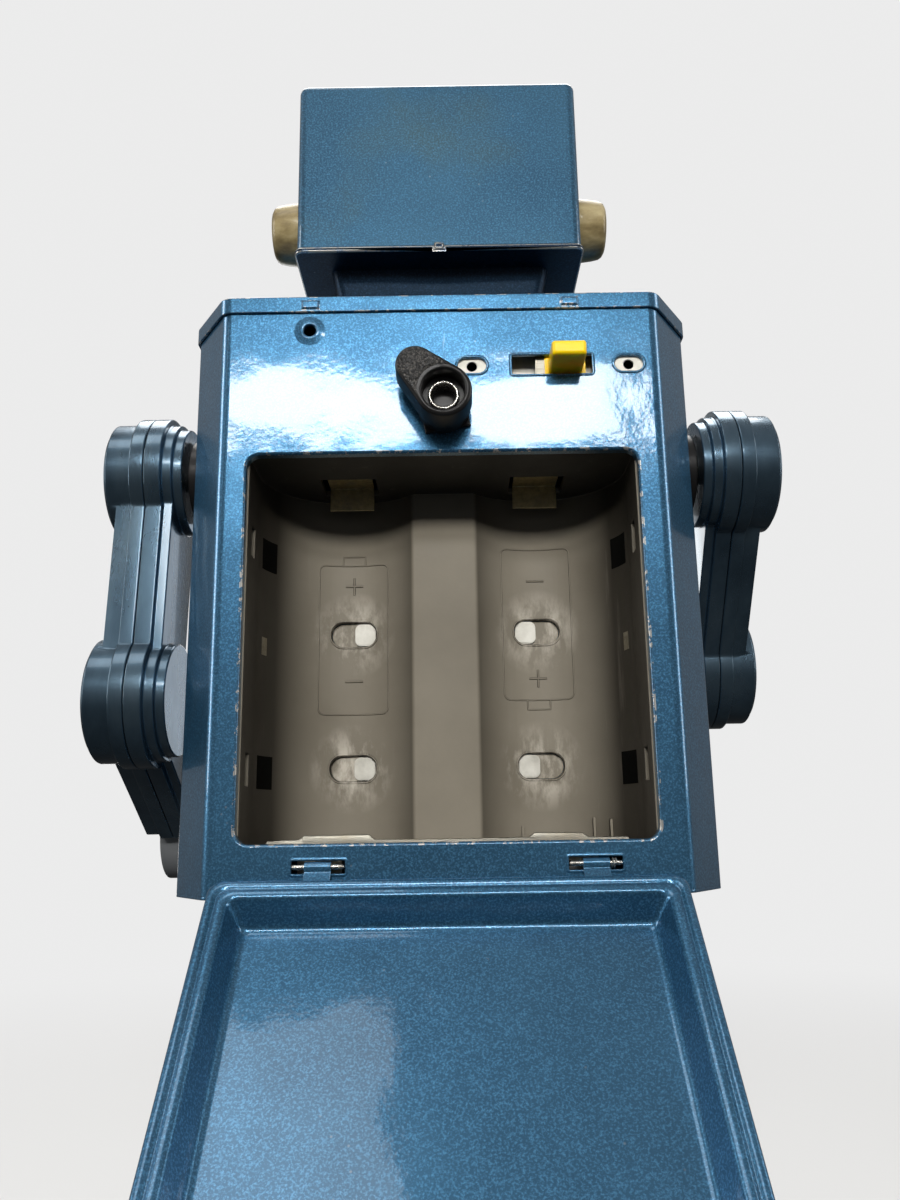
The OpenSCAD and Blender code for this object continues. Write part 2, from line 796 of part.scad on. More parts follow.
module roller(s, y) {
    color([0.10, 0.10, 0.10]) at_leg(s) translate([0, y - 6, roller_r]) rotate([0, 90, 0])
        rotate_extrude() translate([roller_pin_r + fit, 0])
            polygon([[0, -4], [roller_r - roller_pin_r - fit - 0.5, -4], [roller_r - roller_pin_r - fit, -3.5],
                [roller_r - roller_pin_r - fit, 3.5], [roller_r - roller_pin_r - fit - 0.5, 4], [0, 4]]);
}

module leg_bracket_left() { leg_bracket(1); }
module leg_shell_left() { leg_shell(1); }
module shoe_left() { shoe(1); }
module sole_left() { sole(1); }
module roller_axles_left() { roller_axles(1); }
module front_roller_left() { roller(1, roller_ys[0]); }
module rear_roller_left() { roller(1, roller_ys[1]); }
module leg_bracket_right() { leg_bracket(-1); }
module leg_shell_right() { leg_shell(-1); }
module shoe_right() { shoe(-1); }
module sole_right() { sole(-1); }
module roller_axles_right() { roller_axles(-1); }
module front_roller_right() { roller(-1, roller_ys[0]); }
module rear_roller_right() { roller(-1, roller_ys[1]); }

// ---- Gear train -----------------------------------------------------------------------------

// Straight-sided teeth, n of them, with tooth 0 centred on the angle turn
module gear_outline(n, turn) {
    r = gear_m * n / 2;
    root = r - 1.25 * gear_m;
    tip = r + 0.9 * gear_m;
    step = 360 / n;
    polygon([for (i = [0:n - 1], k = [[root, -0.30], [tip, -0.11], [tip, 0.11], [root, 0.30]])
        k[0] * [cos(turn + (i + k[1]) * step), sin(turn + (i + k[1]) * step)]]);
}

// A gear about X with its bore, from x0 to x0 + t
module gear(x0, t, z, n, turn, bore) {
    translate([0, gear_y, z]) difference() {
        yz(x0, t) gear_outline(n, turn);
        bar_x([x0 + t / 2, 0, 0], bore, t + 2);
    }
}

module gear_plate(s) {
    color([0.66, 0.66, 0.64]) difference() {
        translate([s * plate_x - plate_t / 2, -inner_y, plate_z])
            cube([plate_t, inner_y - 1.6, plate_h]);
        bar_x([s * plate_x, gear_y, motor_z], 1.05, 4);
        bar_x([s * plate_x, gear_y, idler_z], 1.05, 4);
        bar_x([s * plate_x, gear_y, crank_z], 1.55, 4);
        for (z = pillar_zs) bar_x([s * plate_x, gear_y, z], 1.1, 4);
    }
}

module gear_pillars() {
    color(nickel) for (z = pillar_zs) {
        bar_x([0, gear_y, z], 1.1, 2 * plate_x + plate_t);
        bar_x([0, gear_y, z], 2, 2 * plate_x - plate_t);
    }
}

module motor() {
    case_x = plate_x + plate_t / 2;
    color([0.70, 0.71, 0.72]) difference() {
        union() {
            bar_x([case_x + 1.5, gear_y, motor_z], 4, 3);
            bar_x([case_x + 15, gear_y, motor_z], 11, 24);
            bar_x([case_x + 28, gear_y, motor_z], 3.5, 2);
        }
        bar_x([case_x, gear_y, motor_z], 1 + fit, 10);
    }
}

module motor_pinion() {
    color([0.82, 0.72, 0.45]) {
        gear(-2, 5, motor_z, small_teeth, 90 + 180 / small_teeth, 0.99);
        bar_x([6, gear_y, motor_z], 1, 20);
    }
}

module idler_gear() {
    color([0.86, 0.84, 0.78]) {
        gear(-1.5, 4, idler_z, big_teeth, 90, 1.19);
        gear(-7, 5.5, idler_z, small_teeth, 90 + 180 / small_teeth, 1.19);
        bar_x([0, gear_y, idler_z], 1.2, 15);
        bar_x([0, gear_y, idler_z], 1, 2 * plate_x + plate_t);
    }
}

module crank_gear() {
    color([0.86, 0.84, 0.78]) gear(-6.5, 4, crank_z, big_teeth, 90, 1.5);
}

module crank_shaft() {
    throw = 7;
    color(nickel) translate([0, gear_y, crank_z]) {
        bar_x([0, 0, 0], 1.5, 2 * plate_x + 5);
        for (s = [-1, 1]) {
            bar_x([s * (plate_x + 2.2), 0, 0], 9, 1.6);
            bar_x([s * (plate_x + 4), s * throw, 0], 1, 4);
        }
    }
}

module gear_plate_left() { gear_plate(1); }
module gear_plate_right() { gear_plate(-1); }

body_shell();
top_cap();
base_plate();
chest_panel();
chest_lamps();
battery_box();
contact_strip();
cell_tabs();
window_contacts();
battery_door();
hinge_wires();
door_spring();
catch_lever();
lever_washer();
lever_eyelet();
switch_knob();
switch_plate();
neck_collar();
head_shell();
head_base();
eye_lenses();
mouth_grille();
ear_left();
ear_right();
shoulder_bushes();
arm_outer_left();
arm_inner_left();
hand_left();
shoulder_axle_left();
shoulder_crank_left();
arm_outer_right();
arm_inner_right();
hand_right();
shoulder_axle_right();
shoulder_crank_right();
slide_rails();
rail_blocks();
leg_bracket_left();
leg_shell_left();
shoe_left();
sole_left();
roller_axles_left();
front_roller_left();
rear_roller_left();
leg_bracket_right();
leg_shell_right();
shoe_right();
sole_right();
roller_axles_right();
front_roller_right();
rear_roller_right();
gear_plate_left();
gear_plate_right();
gear_pillars();
motor();
motor_pinion();
idler_gear();
crank_gear();
crank_shaft();
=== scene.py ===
import json
import math

import bmesh
import bpy
from mathutils import Matrix, Vector

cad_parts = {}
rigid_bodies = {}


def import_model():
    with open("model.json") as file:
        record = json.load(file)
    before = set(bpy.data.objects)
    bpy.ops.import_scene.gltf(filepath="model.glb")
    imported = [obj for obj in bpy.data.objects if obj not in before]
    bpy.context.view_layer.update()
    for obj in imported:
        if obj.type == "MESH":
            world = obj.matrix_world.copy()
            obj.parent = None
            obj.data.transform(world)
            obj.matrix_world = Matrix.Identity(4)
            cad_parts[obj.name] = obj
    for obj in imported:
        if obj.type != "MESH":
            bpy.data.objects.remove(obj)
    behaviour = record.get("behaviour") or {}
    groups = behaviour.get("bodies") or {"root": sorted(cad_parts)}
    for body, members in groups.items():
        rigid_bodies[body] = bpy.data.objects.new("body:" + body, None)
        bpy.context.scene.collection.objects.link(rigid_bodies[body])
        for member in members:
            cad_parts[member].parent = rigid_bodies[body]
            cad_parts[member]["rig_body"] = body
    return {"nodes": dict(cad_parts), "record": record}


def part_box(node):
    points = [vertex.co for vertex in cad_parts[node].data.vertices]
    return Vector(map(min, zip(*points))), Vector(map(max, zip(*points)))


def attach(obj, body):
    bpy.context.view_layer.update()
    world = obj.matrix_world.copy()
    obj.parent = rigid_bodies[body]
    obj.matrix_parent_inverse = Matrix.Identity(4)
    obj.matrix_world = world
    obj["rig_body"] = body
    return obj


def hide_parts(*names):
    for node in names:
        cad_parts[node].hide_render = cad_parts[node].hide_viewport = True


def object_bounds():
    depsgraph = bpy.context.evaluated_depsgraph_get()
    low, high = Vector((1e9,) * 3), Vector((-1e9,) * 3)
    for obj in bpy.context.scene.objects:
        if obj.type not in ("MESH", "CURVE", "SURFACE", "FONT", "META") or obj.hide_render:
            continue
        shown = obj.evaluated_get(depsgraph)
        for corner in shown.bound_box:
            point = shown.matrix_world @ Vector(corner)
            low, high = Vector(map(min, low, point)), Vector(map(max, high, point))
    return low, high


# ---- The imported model, and sizes read from it ------------------------------------------------

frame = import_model()
cad_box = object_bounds()
MM = 0.001
nodes = frame["nodes"]
joints = {j["name"]: j for j in frame["record"]["behaviour"]["joints"]}


def box(node):
    """Lowest and highest corner of a CAD node, in millimetres."""
    low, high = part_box(node)
    return low / MM, high / MM


def pivot(joint):
    """The point that a joint turns about, in millimetres."""
    return Vector(joints[joint]["pos_m"]) / MM


BACK = box("body_shell")[1].y
FLOOR_OF_TORSO = box("base_plate")[0].z

# ---- Camera -----------------------------------------------------------------------------------

CAMERA_PLACE = Vector((-1.1, BACK + 180.0, FLOOR_OF_TORSO + 10.8))
CAMERA_PITCH = math.radians(13.1)
CAMERA_ROLL = math.radians(0.9)
FOCAL_LENGTH = 30.0
SENSOR_WIDTH = 36.0


def make_camera():
    """A close camera behind the toy, level with the foot of its torso and tilted up."""
    data = bpy.data.cameras.new("camera")
    data.lens = FOCAL_LENGTH
    data.sensor_width = SENSOR_WIDTH
    data.clip_start = 0.01
    data.clip_end = 20.0
    camera = bpy.data.objects.new("camera", data)
    bpy.context.scene.collection.objects.link(camera)
    level = Vector((-1, 0, 0))
    upright = Vector((0, math.sin(CAMERA_PITCH), math.cos(CAMERA_PITCH)))
    right = level * math.cos(CAMERA_ROLL) - upright * math.sin(CAMERA_ROLL)
    up = upright * math.cos(CAMERA_ROLL) + level * math.sin(CAMERA_ROLL)
    turn = Matrix((right, up, level.cross(upright))).transposed().to_4x4()
    camera.matrix_world = Matrix.Translation(CAMERA_PLACE * MM) @ turn
    bpy.context.scene.camera = camera


make_camera()

# ---- Materials --------------------------------------------------------------------------------


class Graph:
    """A short way to write a material's node tree."""

    def __init__(self, name):
        self.material = bpy.data.materials.new(name)
        self.material.use_nodes = True
        self.tree = self.material.node_tree
        self.tree.nodes.clear()
        self.out = self.add("ShaderNodeOutputMaterial")
        self.shader = self.add("ShaderNodeBsdfPrincipled")
        self.link(self.shader, "BSDF", self.out, "Surface")
        self.place = self.add("ShaderNodeTexCoord")

    def add(self, kind, **settings):
        node = self.tree.nodes.new(kind)
        for key, value in settings.items():
            setattr(node, key, value)
        return node

    def link(self, a, out, b, into):
        self.tree.links.new(a.outputs[out], b.inputs[into])

    def fix(self, **values):
        for key, value in values.items():
            self.shader.inputs[key.replace("_", " ")].default_value = value

    def noise(self, scale, detail=3.0, rough=0.55, stretch=None):
        """Noise over the object's own metres; a stretch under 1 draws it out along that axis."""
        node = self.add("ShaderNodeTexNoise")
        node.inputs["Scale"].default_value = scale
        node.inputs["Detail"].default_value = detail
        node.inputs["Roughness"].default_value = rough
        self.feed(node, stretch)
        return node

    def cells(self, scale, feature="F1"):
        node = self.add("ShaderNodeTexVoronoi", feature=feature)
        node.inputs["Scale"].default_value = scale
        self.feed(node)
        return node

    def feed(self, node, stretch=None):
        if stretch is None:
            self.link(self.place, "Object", node, "Vector")
            return
        mapping = self.add("ShaderNodeMapping")
        mapping.inputs["Scale"].default_value = stretch
        self.link(self.place, "Object", mapping, "Vector")
        self.link(mapping, "Vector", node, "Vector")

    def ramp(self, source, out, stops):
        """A colour ramp; stops are (position, colour) pairs."""
        node = self.add("ShaderNodeValToRGB")
        elements = node.color_ramp.elements
        while len(elements) < len(stops):
            elements.new(0.5)
        for element, (position, colour) in zip(elements, sorted(stops, key=lambda stop: stop[0])):
            element.position = position
            element.color = (*colour, 1.0)
        self.link(source, out, node, "Fac")
        return node

    def mask(self, source, out, low, high):
        return self.ramp(source, out, [(low, (0, 0, 0)), (high, (1, 1, 1))])

    def mix(self, factor, a, b):
        """Mixes colours a and b, each a node or a plain colour, by the factor node."""
        node = self.add("ShaderNodeMix", data_type="RGBA")
        self.tree.links.new(factor.outputs[0], node.inputs["Factor"])
        for value, socket in ((a, node.inputs[6]), (b, node.inputs[7])):
            if isinstance(value, tuple):
                socket.default_value = (*value, 1.0)
            else:
                self.tree.links.new(colour_out(value), socket)
        return node

    def times(self, a, b):
        node = self.add("ShaderNodeMath", operation="MULTIPLY")
        self.tree.links.new(a.outputs[0], node.inputs[0])
        if isinstance(b, float):
            node.inputs[1].default_value = b
        else:
            self.tree.links.new(b.outputs[0], node.inputs[1])
        return node

    def spread(self, source, out, low, high):
        """Maps 0..1 onto low..high."""
        node = self.add("ShaderNodeMapRange")
        node.inputs["To Min"].default_value = low
        node.inputs["To Max"].default_value = high
        self.link(source, out, node, "Value")
        return node

    def bump(self, source, out, height, socket="Normal", before=None):
        node = self.add("ShaderNodeBump")
        node.inputs["Distance"].default_value = height * MM
        self.link(source, out, node, "Height")
        if before is not None:
            self.link(before, "Normal", node, "Normal")
        self.link(node, "Normal", self.shader, socket)
        return node

    def colour(self, node):
        self.tree.links.new(colour_out(node), self.shader.inputs["Base Color"])

    def roughness(self, source, low, high):
        """Lets a noise move the roughness between low and high."""
        rough = self.spread(source, "Fac", low, high)
        self.tree.links.new(rough.outputs[0], self.shader.inputs["Roughness"])


def colour_out(node):
    return node.outputs[2] if node.bl_idname == "ShaderNodeMix" else node.outputs[0]


DUST = (0.30, 0.36, 0.40)
BARE_TIN = (0.50, 0.49, 0.46)


def chipped(g, colour, amount):
    """Paint with chips that show the tin under it."""
    chips = g.mask(g.noise(520, 4, 0.7), "Fac", 0.64 - amount, 0.67 - amount)
    return g.mix(chips, colour, BARE_TIN)


def lacquer(name, deep, light, rough=0.36, metal=0.80, chips=0.0, stain=None, coat=1.0):
    """Metallic lacquer on tin: flake under a clear coat, with specks of dust, scratches and chips."""
    g = Graph(name)
    shade = g.noise(24, 4, 0.6)
    tone = g.mix(g.mask(shade, "Fac", 0.28, 0.72), deep, light)
    if stain is not None:
        clouds = g.times(g.mask(g.noise(34, 4, 0.6), "Fac", 0.50, 0.70), 0.55)
        tone = g.mix(clouds, tone, stain)
    flake = g.noise(2700, 2, 0.65)
    glint = g.times(g.mask(flake, "Fac", 0.46, 0.72), 0.80)
    lifted = g.mix(glint, tone, tuple(min(1.0, 2.0 * c + 0.003) for c in light))
    dots = g.cells(420)
    dust = g.times(g.mask(dots, "Distance", 0.11, 0.04), g.mask(g.noise(70, 2), "Fac", 0.56, 0.64))
    dusty = g.mix(g.times(dust, 0.5), lifted, DUST)
    scratch = g.times(g.mask(g.noise(420, 4, 0.75, (1, 1, 0.06)), "Fac", 0.71, 0.75), 0.35)
    scored = g.mix(scratch, dusty, DUST)
    g.colour(chipped(g, scored, chips) if chips else scored)
    g.fix(Metallic=metal, Coat_Weight=coat, Coat_Roughness=0.07, Coat_IOR=1.50)
    g.roughness(g.noise(60, 4, 0.6), rough - 0.06, rough + 0.08)
    waves = g.bump(g.noise(46, 2, 0.45), "Fac", 0.36)
    g.bump(flake, "Fac", 0.012, before=waves)
    g.bump(g.noise(900, 2, 0.5), "Fac", 0.012, "Coat Normal", before=waves)
    return g.material


def moulded(name, colours, rough=0.3, grain=900, height=0.01, metal=0.0, coat=0.0, stretch=None,
            patch=38, **fixed):
    """Moulded plastic with a little unevenness in its colour, gloss and skin."""
    g = Graph(name)
    tone = g.noise(patch, 5, 0.6, stretch)
    stops = [(0.30 + 0.40 * i / (len(colours) - 1), c) for i, c in enumerate(colours)]
    g.colour(g.ramp(tone, "Fac", stops))
    g.roughness(g.noise(150, 4, 0.6, stretch), rough - 0.08, rough + 0.10)
    g.fix(Metallic=metal, Coat_Weight=coat, Coat_Roughness=0.06, **fixed)
    g.bump(g.noise(grain, 3, 0.6), "Fac", height)
    return g.material


TARNISH = (0.33, 0.29, 0.22)


def bare_metal(name, bright, dull, rough, stretch=(1, 1, 1)):
    """Plated or bare sheet metal with drawing lines and some tarnish."""
    g = Graph(name)
    lines = g.noise(900, 3, 0.7, stretch)
    stain = g.mask(g.noise(130, 5, 0.65), "Fac", 0.50, 0.74)
    g.colour(g.mix(stain, g.mix(g.mask(lines, "Fac", 0.35, 0.65), bright, dull), TARNISH))
    g.fix(Metallic=1.0)
    g.roughness(lines, rough * 0.6, rough * 1.5)
    g.bump(lines, "Fac", 0.01)
    return g.material


def grained_black(name):
    """Black plastic with a coarse leather-like grain."""
    g = Graph(name)
    pits = g.cells(2700, feature="SMOOTH_F1")
    g.colour(g.mix(g.mask(pits, "Distance", 0.12, 0.50), (0.090, 0.084, 0.076), (0.005, 0.005, 0.005)))
    g.fix(Roughness=0.36)
    g.bump(pits, "Distance", 0.22)
    return g.material


SCUFF_CORE = 3.0
SCUFF_REACH = 9.5


def cradle_plastic(name, scuffed_at):
    """Dull brown-grey plastic with painted shade, darker where it turns away from +Y, scuffed round the
    given points.
    """
    g = Graph(name)
    clean = g.ramp(g.noise(30, 5, 0.6), "Fac", [(0.3, (0.160, 0.141, 0.108)), (0.7, (0.225, 0.201, 0.158))])
    geometry = g.add("ShaderNodeNewGeometry")
    facing = g.add("ShaderNodeSeparateXYZ")
    g.link(geometry, "Normal", facing, 0)
    # Painted shade: faces that turn away from +Y (the cradles' sides, the box's ceiling) are mixed towards
    # near-black
    flat = g.mask(facing, "Y", 0.50, 1.0)
    tone_with_painted_shade = g.mix(flat, (0.030, 0.026, 0.020), clean)
    near = None
    for point in scuffed_at:
        gap = g.add("ShaderNodeVectorMath", operation="DISTANCE")
        g.link(geometry, "Position", gap, 0)
        gap.inputs[1].default_value = Vector(point) * MM
        ring = g.add("ShaderNodeMapRange")
        ring.inputs["From Min"].default_value = SCUFF_REACH * MM
        ring.inputs["From Max"].default_value = SCUFF_CORE * MM
        g.link(gap, "Value", ring, "Value")
        if near is None:
            near = ring
        else:
            both = g.add("ShaderNodeMath", operation="MAXIMUM")
            g.link(near, 0, both, 0)
            g.link(ring, 0, both, 1)
            near = both
    rub = g.mask(g.noise(210, 5, 0.7, (1, 1, 0.45)), "Fac", 0.44, 0.62)
    scuffed = g.mix(g.times(g.times(near, rub), 0.85), tone_with_painted_shade, (0.50, 0.46, 0.39))
    streak = g.mask(g.noise(420, 4, 0.7, (1, 1, 0.08)), "Fac", 0.60, 0.78)
    g.colour(g.mix(g.times(streak, 0.35), scuffed, (0.20, 0.18, 0.15)))
    g.roughness(g.noise(120, 4), 0.40, 0.62)
    g.bump(g.noise(1100, 3, 0.6), "Fac", 0.02)
    return g.material


def glowing(name, colour, rough):
    """Clear coloured plastic for lamps and lenses."""
    g = Graph(name)
    swirl = g.noise(240, 3, 0.5)
    g.colour(g.mix(g.mask(swirl, "Fac", 0.3, 0.7), colour, tuple(0.72 * c for c in colour)))
    g.fix(Roughness=rough, Coat_Weight=0.6, Coat_Roughness=0.04, Subsurface_Weight=0.25)
    g.shader.inputs["Subsurface Radius"].default_value = (0.002, 0.001, 0.0006)
    g.bump(g.noise(500, 2), "Fac", 0.01)
    return g.material


# ---- Mesh helpers: pieces are built in millimetres and scaled once ----------------------------

slot_of = {s["node"]: s["material_slot"] for s in frame["record"]["subparts"]}


def body_of(node):
    return nodes[node]["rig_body"]


def finish_piece(name, bm, material, body, stands_for=(), sharp=48, edge_material=None):
    """Turns bm into an object that rides on a body, with smooth faces and sharp edges."""
    bmesh.ops.recalc_face_normals(bm, faces=bm.faces)
    bm.transform(Matrix.Scale(MM, 4))
    mesh = bpy.data.meshes.new(name)
    bm.to_mesh(mesh)
    bm.free()
    mesh.materials.append(material)
    if edge_material is not None:
        mesh.materials.append(edge_material)
    mesh.polygons.foreach_set("use_smooth", [True] * len(mesh.polygons))
    mesh.set_sharp_from_angle(angle=math.radians(sharp))
    piece = bpy.data.objects.new(name, mesh)
    bpy.context.scene.collection.objects.link(piece)
    even = piece.modifiers.new("flat faces stay flat", "WEIGHTED_NORMAL")
    even.keep_sharp = True
    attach(piece, body)
    if stands_for:
        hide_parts(*stands_for)


def copy_of(node):
    """A clean copy of a CAD node's mesh in millimetres, its triangles merged into flat faces."""
    bm = bmesh.new()
    bm.from_mesh(nodes[node].data)
    bm.transform(Matrix.Scale(1 / MM, 4))
    bmesh.ops.remove_doubles(bm, verts=bm.verts, dist=0.002)
    bmesh.ops.dissolve_limit(bm, angle_limit=math.radians(0.8), verts=bm.verts, edges=bm.edges)
    return bm


def round_edges(bm, width, segments, angle, only=None):
    """Bevels the edges sharper than angle, or those of them that only(middle, edge) picks."""
    limit = math.radians(angle)
    picked = [e for e in bm.edges if len(e.link_faces) == 2 and e.calc_face_angle(0) > limit
              and (only is None or only((e.verts[0].co + e.verts[1].co) / 2, e))]
    bmesh.ops.bevel(bm, geom=picked, offset=width, segments=segments, profile=0.5, material=1,
                    affect="EDGES", clamp_overlap=False, offset_type="OFFSET")


def soften(node, width, material, segments=3, angle=34, edge_material=None):
    """Stands in for a CAD node: the same shape with its sharp edges rounded."""
    bm = copy_of(node)
    round_edges(bm, width, segments, angle)
    finish_piece(node + "_skin", bm, material, body_of(node), (node,),
                 edge_material=edge_material or material)


def loft(bm, rings, caps=True):
    """Skins rings of equally many points; without caps, the last ring joins the first."""
    loops = [[bm.verts.new(p) for p in ring] for ring in rings]
    count = len(rings[0])
    for a, b in zip(loops, loops[1:]):
        for i in range(count):
            k = (i + 1) % count
            bm.faces.new((a[i], a[k], b[k], b[i]))
    if caps:
        bm.faces.new(list(reversed(loops[0])))
        bm.faces.new(loops[-1])
    else:
        for i in range(count):
            k = (i + 1) % count
            bm.faces.new((loops[-1][i], loops[-1][k], loops[0][k], loops[0][i]))


def round_rect(x0, x1, y0, y1, r, steps):
    """An anticlockwise rectangle with round corners, as 2-D points."""
    points = []
    corners = ((x1 - r, y0 + r, -90), (x1 - r, y1 - r, 0), (x0 + r, y1 - r, 90), (x0 + r, y0 + r, 180))
    for cx, cy, start in corners:
        for k in range(steps + 1):
            a = math.radians(start + 90 * k / steps)
            points.append((cx + r * math.cos(a), cy + r * math.sin(a)))
    return points


def circle(r, count):
    """Points round a circle, anticlockwise."""
    turns = [2 * math.pi * k / count for k in range(count)]
    return [(r * math.cos(a), r * math.sin(a)) for a in turns]


def lathe(bm, profile, place, count=56, caps=True):
    """Turns (radius, height) points round a local Z axis; place moves them into the model."""
    rings = [[place @ Vector((x, y, h)) for x, y in circle(r, count)] for r, h in profile]
    loft(bm, rings, caps)


def tube(bm, path, r):
    """A six-sided bar of radius r along a path of points."""
    path = [Vector(p) for p in path]
    rings = []
    for behind, p, ahead in zip(path[:1] + path, path, path[1:] + path[-1:]):
        along = (ahead - behind).normalized()
        if abs(along.y) > 0.95:
            side = along.orthogonal().normalized()
        else:
            side = along.cross(Vector((0, 1, 0))).normalized()
        lift = side.cross(along)
        rings.append([p + r * (side * x + lift * y) for x, y in circle(1.0, 6)])
    loft(bm, rings)


ALONG_X = Matrix.Rotation(math.radians(90), 4, "Y")
ALONG_Y = Matrix.Rotation(math.radians(-90), 4, "X")


def at(x, y, z):
    return Matrix.Translation((x, y, z))


# ---- The materials of this object -------------------------------------------------------------

CELL_PITCH = 39.0
CRADLE_R = 17.6
CRADLE_Y = BACK - 30 + CRADLE_R
WINDOW_HEIGHTS = (FLOOR_OF_TORSO + 24, FLOOR_OF_TORSO + 52.3)
WINDOW_HALF_X = 4.7
WINDOW_HALF_Z = 2.5
RIM_HALF_X = 5.1
RIM_HALF_Z = 2.9
window_spots = [(s * CELL_PITCH / 2, CRADLE_Y - CRADLE_R, z) for s in (-1, 1) for z in WINDOW_HEIGHTS]

blue_tin = lacquer("blue lacquer", (0.026, 0.105, 0.200), (0.052, 0.170, 0.300), rough=0.31)
blue_edge = lacquer("blue lacquer, worn", (0.026, 0.095, 0.180), (0.050, 0.150, 0.260), chips=0.09)
blue_head = lacquer("blue lacquer, faded", (0.020, 0.078, 0.142), (0.036, 0.116, 0.196), rough=0.44,
                    metal=0.65, stain=(0.055, 0.100, 0.105))
# Painted shade: a darker copy of the blue lacquer, used on the head's base, which sits in shade under the
# head
dark_tin = lacquer("blue lacquer, painted shade", (0.004, 0.012, 0.026), (0.008, 0.024, 0.048), rough=0.40, metal=0.7,
                   coat=0.15)
# Painted highlight with some wear: a much lighter blue for the rounded edges of the head's base, with chips
# of bare tin
worn_edge_painted_highlight = lacquer("rubbed edge, painted highlight", (0.16, 0.21, 0.28), (0.26, 0.32, 0.40), rough=0.28, chips=0.22)
silver_tin = lacquer("silver paint", (0.33, 0.34, 0.35), (0.46, 0.47, 0.48), rough=0.40, metal=0.6)
blue_plastic = moulded("dark blue moulding",
                       [(0.060, 0.105, 0.150), (0.100, 0.165, 0.225), (0.150, 0.225, 0.285)],
                       rough=0.27, metal=0.90, coat=0.6, stretch=(1, 1, 0.25), patch=90)
grey_plastic = moulded("grey moulding", [(0.20, 0.21, 0.22), (0.28, 0.29, 0.30)], rough=0.32, metal=0.5,
                       coat=0.3)
box_plastic = cradle_plastic("brown-grey moulding, painted shade", window_spots)
grained_plastic = grained_black("grained black")
black_plastic = moulded("plain black", [(0.005, 0.005, 0.005), (0.011, 0.010, 0.010)], rough=0.34)
# Painted shadow: a near-black, dull sheet for the side slots, where only shade shows
painted_slot_shadow = moulded("painted slot shadow", [(0.002, 0.002, 0.002), (0.006, 0.006, 0.005)], rough=0.95,
                     Specular_IOR_Level=0.05)
yellow_plastic = moulded("yellow moulding", [(0.86, 0.44, 0.001), (0.96, 0.58, 0.002), (0.98, 0.66, 0.004)],
                         rough=0.30, Subsurface_Weight=0.12)
ear_plastic = moulded("aged cream", [(0.075, 0.048, 0.018), (0.27, 0.210, 0.100), (0.46, 0.385, 0.220)],
                      rough=0.38, stretch=(0.5, 1, 1), coat=0.2, patch=190)
lamp_plastic = glowing("orange lamp", (0.72, 0.12, 0.02), 0.16)
lens_plastic = glowing("pale lens", (0.55, 0.62, 0.20), 0.12)
gear_plastic = moulded("white moulding", [(0.62, 0.60, 0.53), (0.74, 0.72, 0.66)], rough=0.45)
nickel = bare_metal("nickel", (0.86, 0.84, 0.78), (0.66, 0.64, 0.58), 0.26)
brass = bare_metal("brass strip", (0.62, 0.52, 0.30), (0.46, 0.38, 0.21), 0.42)
tinned = moulded("tinned steel", [(0.50, 0.48, 0.42), (0.64, 0.62, 0.55), (0.76, 0.74, 0.67)], rough=0.42,
                 metal=0.35, patch=240)
plain_steel = bare_metal("bare steel", (0.42, 0.40, 0.34), (0.30, 0.285, 0.24), 0.36, (0.06, 1, 1))
rubber = moulded("rubber", [(0.014, 0.014, 0.014), (0.030, 0.029, 0.028)], rough=0.72, grain=700,
                 height=0.06)

BY_SLOT = {
    "blue_tin": blue_tin, "dark_tin": dark_tin, "silver_tin": silver_tin, "blue_plastic": blue_plastic,
    "grey_plastic": grey_plastic, "box_plastic": box_plastic, "black_plastic": black_plastic,
    "yellow_plastic": yellow_plastic, "ear_plastic": ear_plastic, "lamp_plastic": lamp_plastic,
    "lens_plastic": lens_plastic, "gear_plastic": gear_plastic, "nickel": nickel, "brass": brass,
    "plain_steel": plain_steel, "rubber": rubber,
}
for name, node in nodes.items():
    for holder in node.material_slots:
        holder.material = BY_SLOT[slot_of[name]]

# ---- Torso ------------------------------------------------------------------------------------

HINGE_XS = (22.6, -25.8)
OPENING_HALF = 37.4
OPENING_LOW = FLOOR_OF_TORSO + 9.3
OPENING_HIGH = FLOOR_OF_TORSO + 81.8


def build_body():
    """The torso wrapper, with soft edges round the battery opening and the holes above it."""
    bm = copy_of("body_shell")

    def on_back(edge):
        return all(v.co.y > BACK - 0.05 for v in edge.verts)

    def of_opening(middle, edge):
        upright = OPENING_LOW - 1 < middle.z < OPENING_HIGH + 1
        return on_back(edge) and abs(middle.x) < OPENING_HALF + 1 and upright

    def of_small_holes(middle, edge):
        return on_back(edge) and middle.z > OPENING_HIGH + 2

    round_edges(bm, 0.55, 5, 60, of_opening)
    round_edges(bm, 0.16, 2, 60, of_small_holes)
    finish_piece("body_skin", bm, blue_tin, "torso", ("body_shell",), edge_material=blue_edge)


def pressed_ring(bm, outline, profile):
    """A raised lip round a hole: profile holds (how far outwards, height above the back)."""
    rings = []
    for out, lift in profile:
        rings.append([(x + out * nx, BACK + lift, z + out * nz) for x, z, nx, nz in outline])
    loft(bm, rings, caps=False)


def with_normals(points):
    """Adds the outward direction at each point of an anticlockwise outline."""
    out = []
    for (ax, az), (x, z), (bx, bz) in zip(points[-1:] + points, points, points[1:] + points[:1]):
        outwards = Vector((bz - az, ax - bx)).normalized()
        out.append((x, z, outwards.x, outwards.y))
    return out


# The slots, each as its left end, right end, half height and corner radius
SWITCH_ROW = ((-29.55, -13.95, 2.0, 0.3), (-8.9, -3.3, 1.6, 1.59), (-39.6, -34.0, 1.6, 1.59))
HINGE_ROW = tuple((x - 4.7, x + 4.7, 1.1, 0.25) for x in HINGE_XS)
HOLE_X = 25.7
HOLE_Z = FLOOR_OF_TORSO + 107.6
HOLE_R = 1.2
SLOT_LIP = ((0.02, -0.10), (0.02, 0.06), (0.14, 0.15), (0.34, 0.13), (0.60, 0.02), (0.60, -0.10))
HOLE_DIMPLE = ((0.02, -0.10), (0.04, 0.22), (0.22, 0.36), (0.60, 0.32), (1.10, 0.14), (1.90, 0.01),
               (1.90, -0.10))


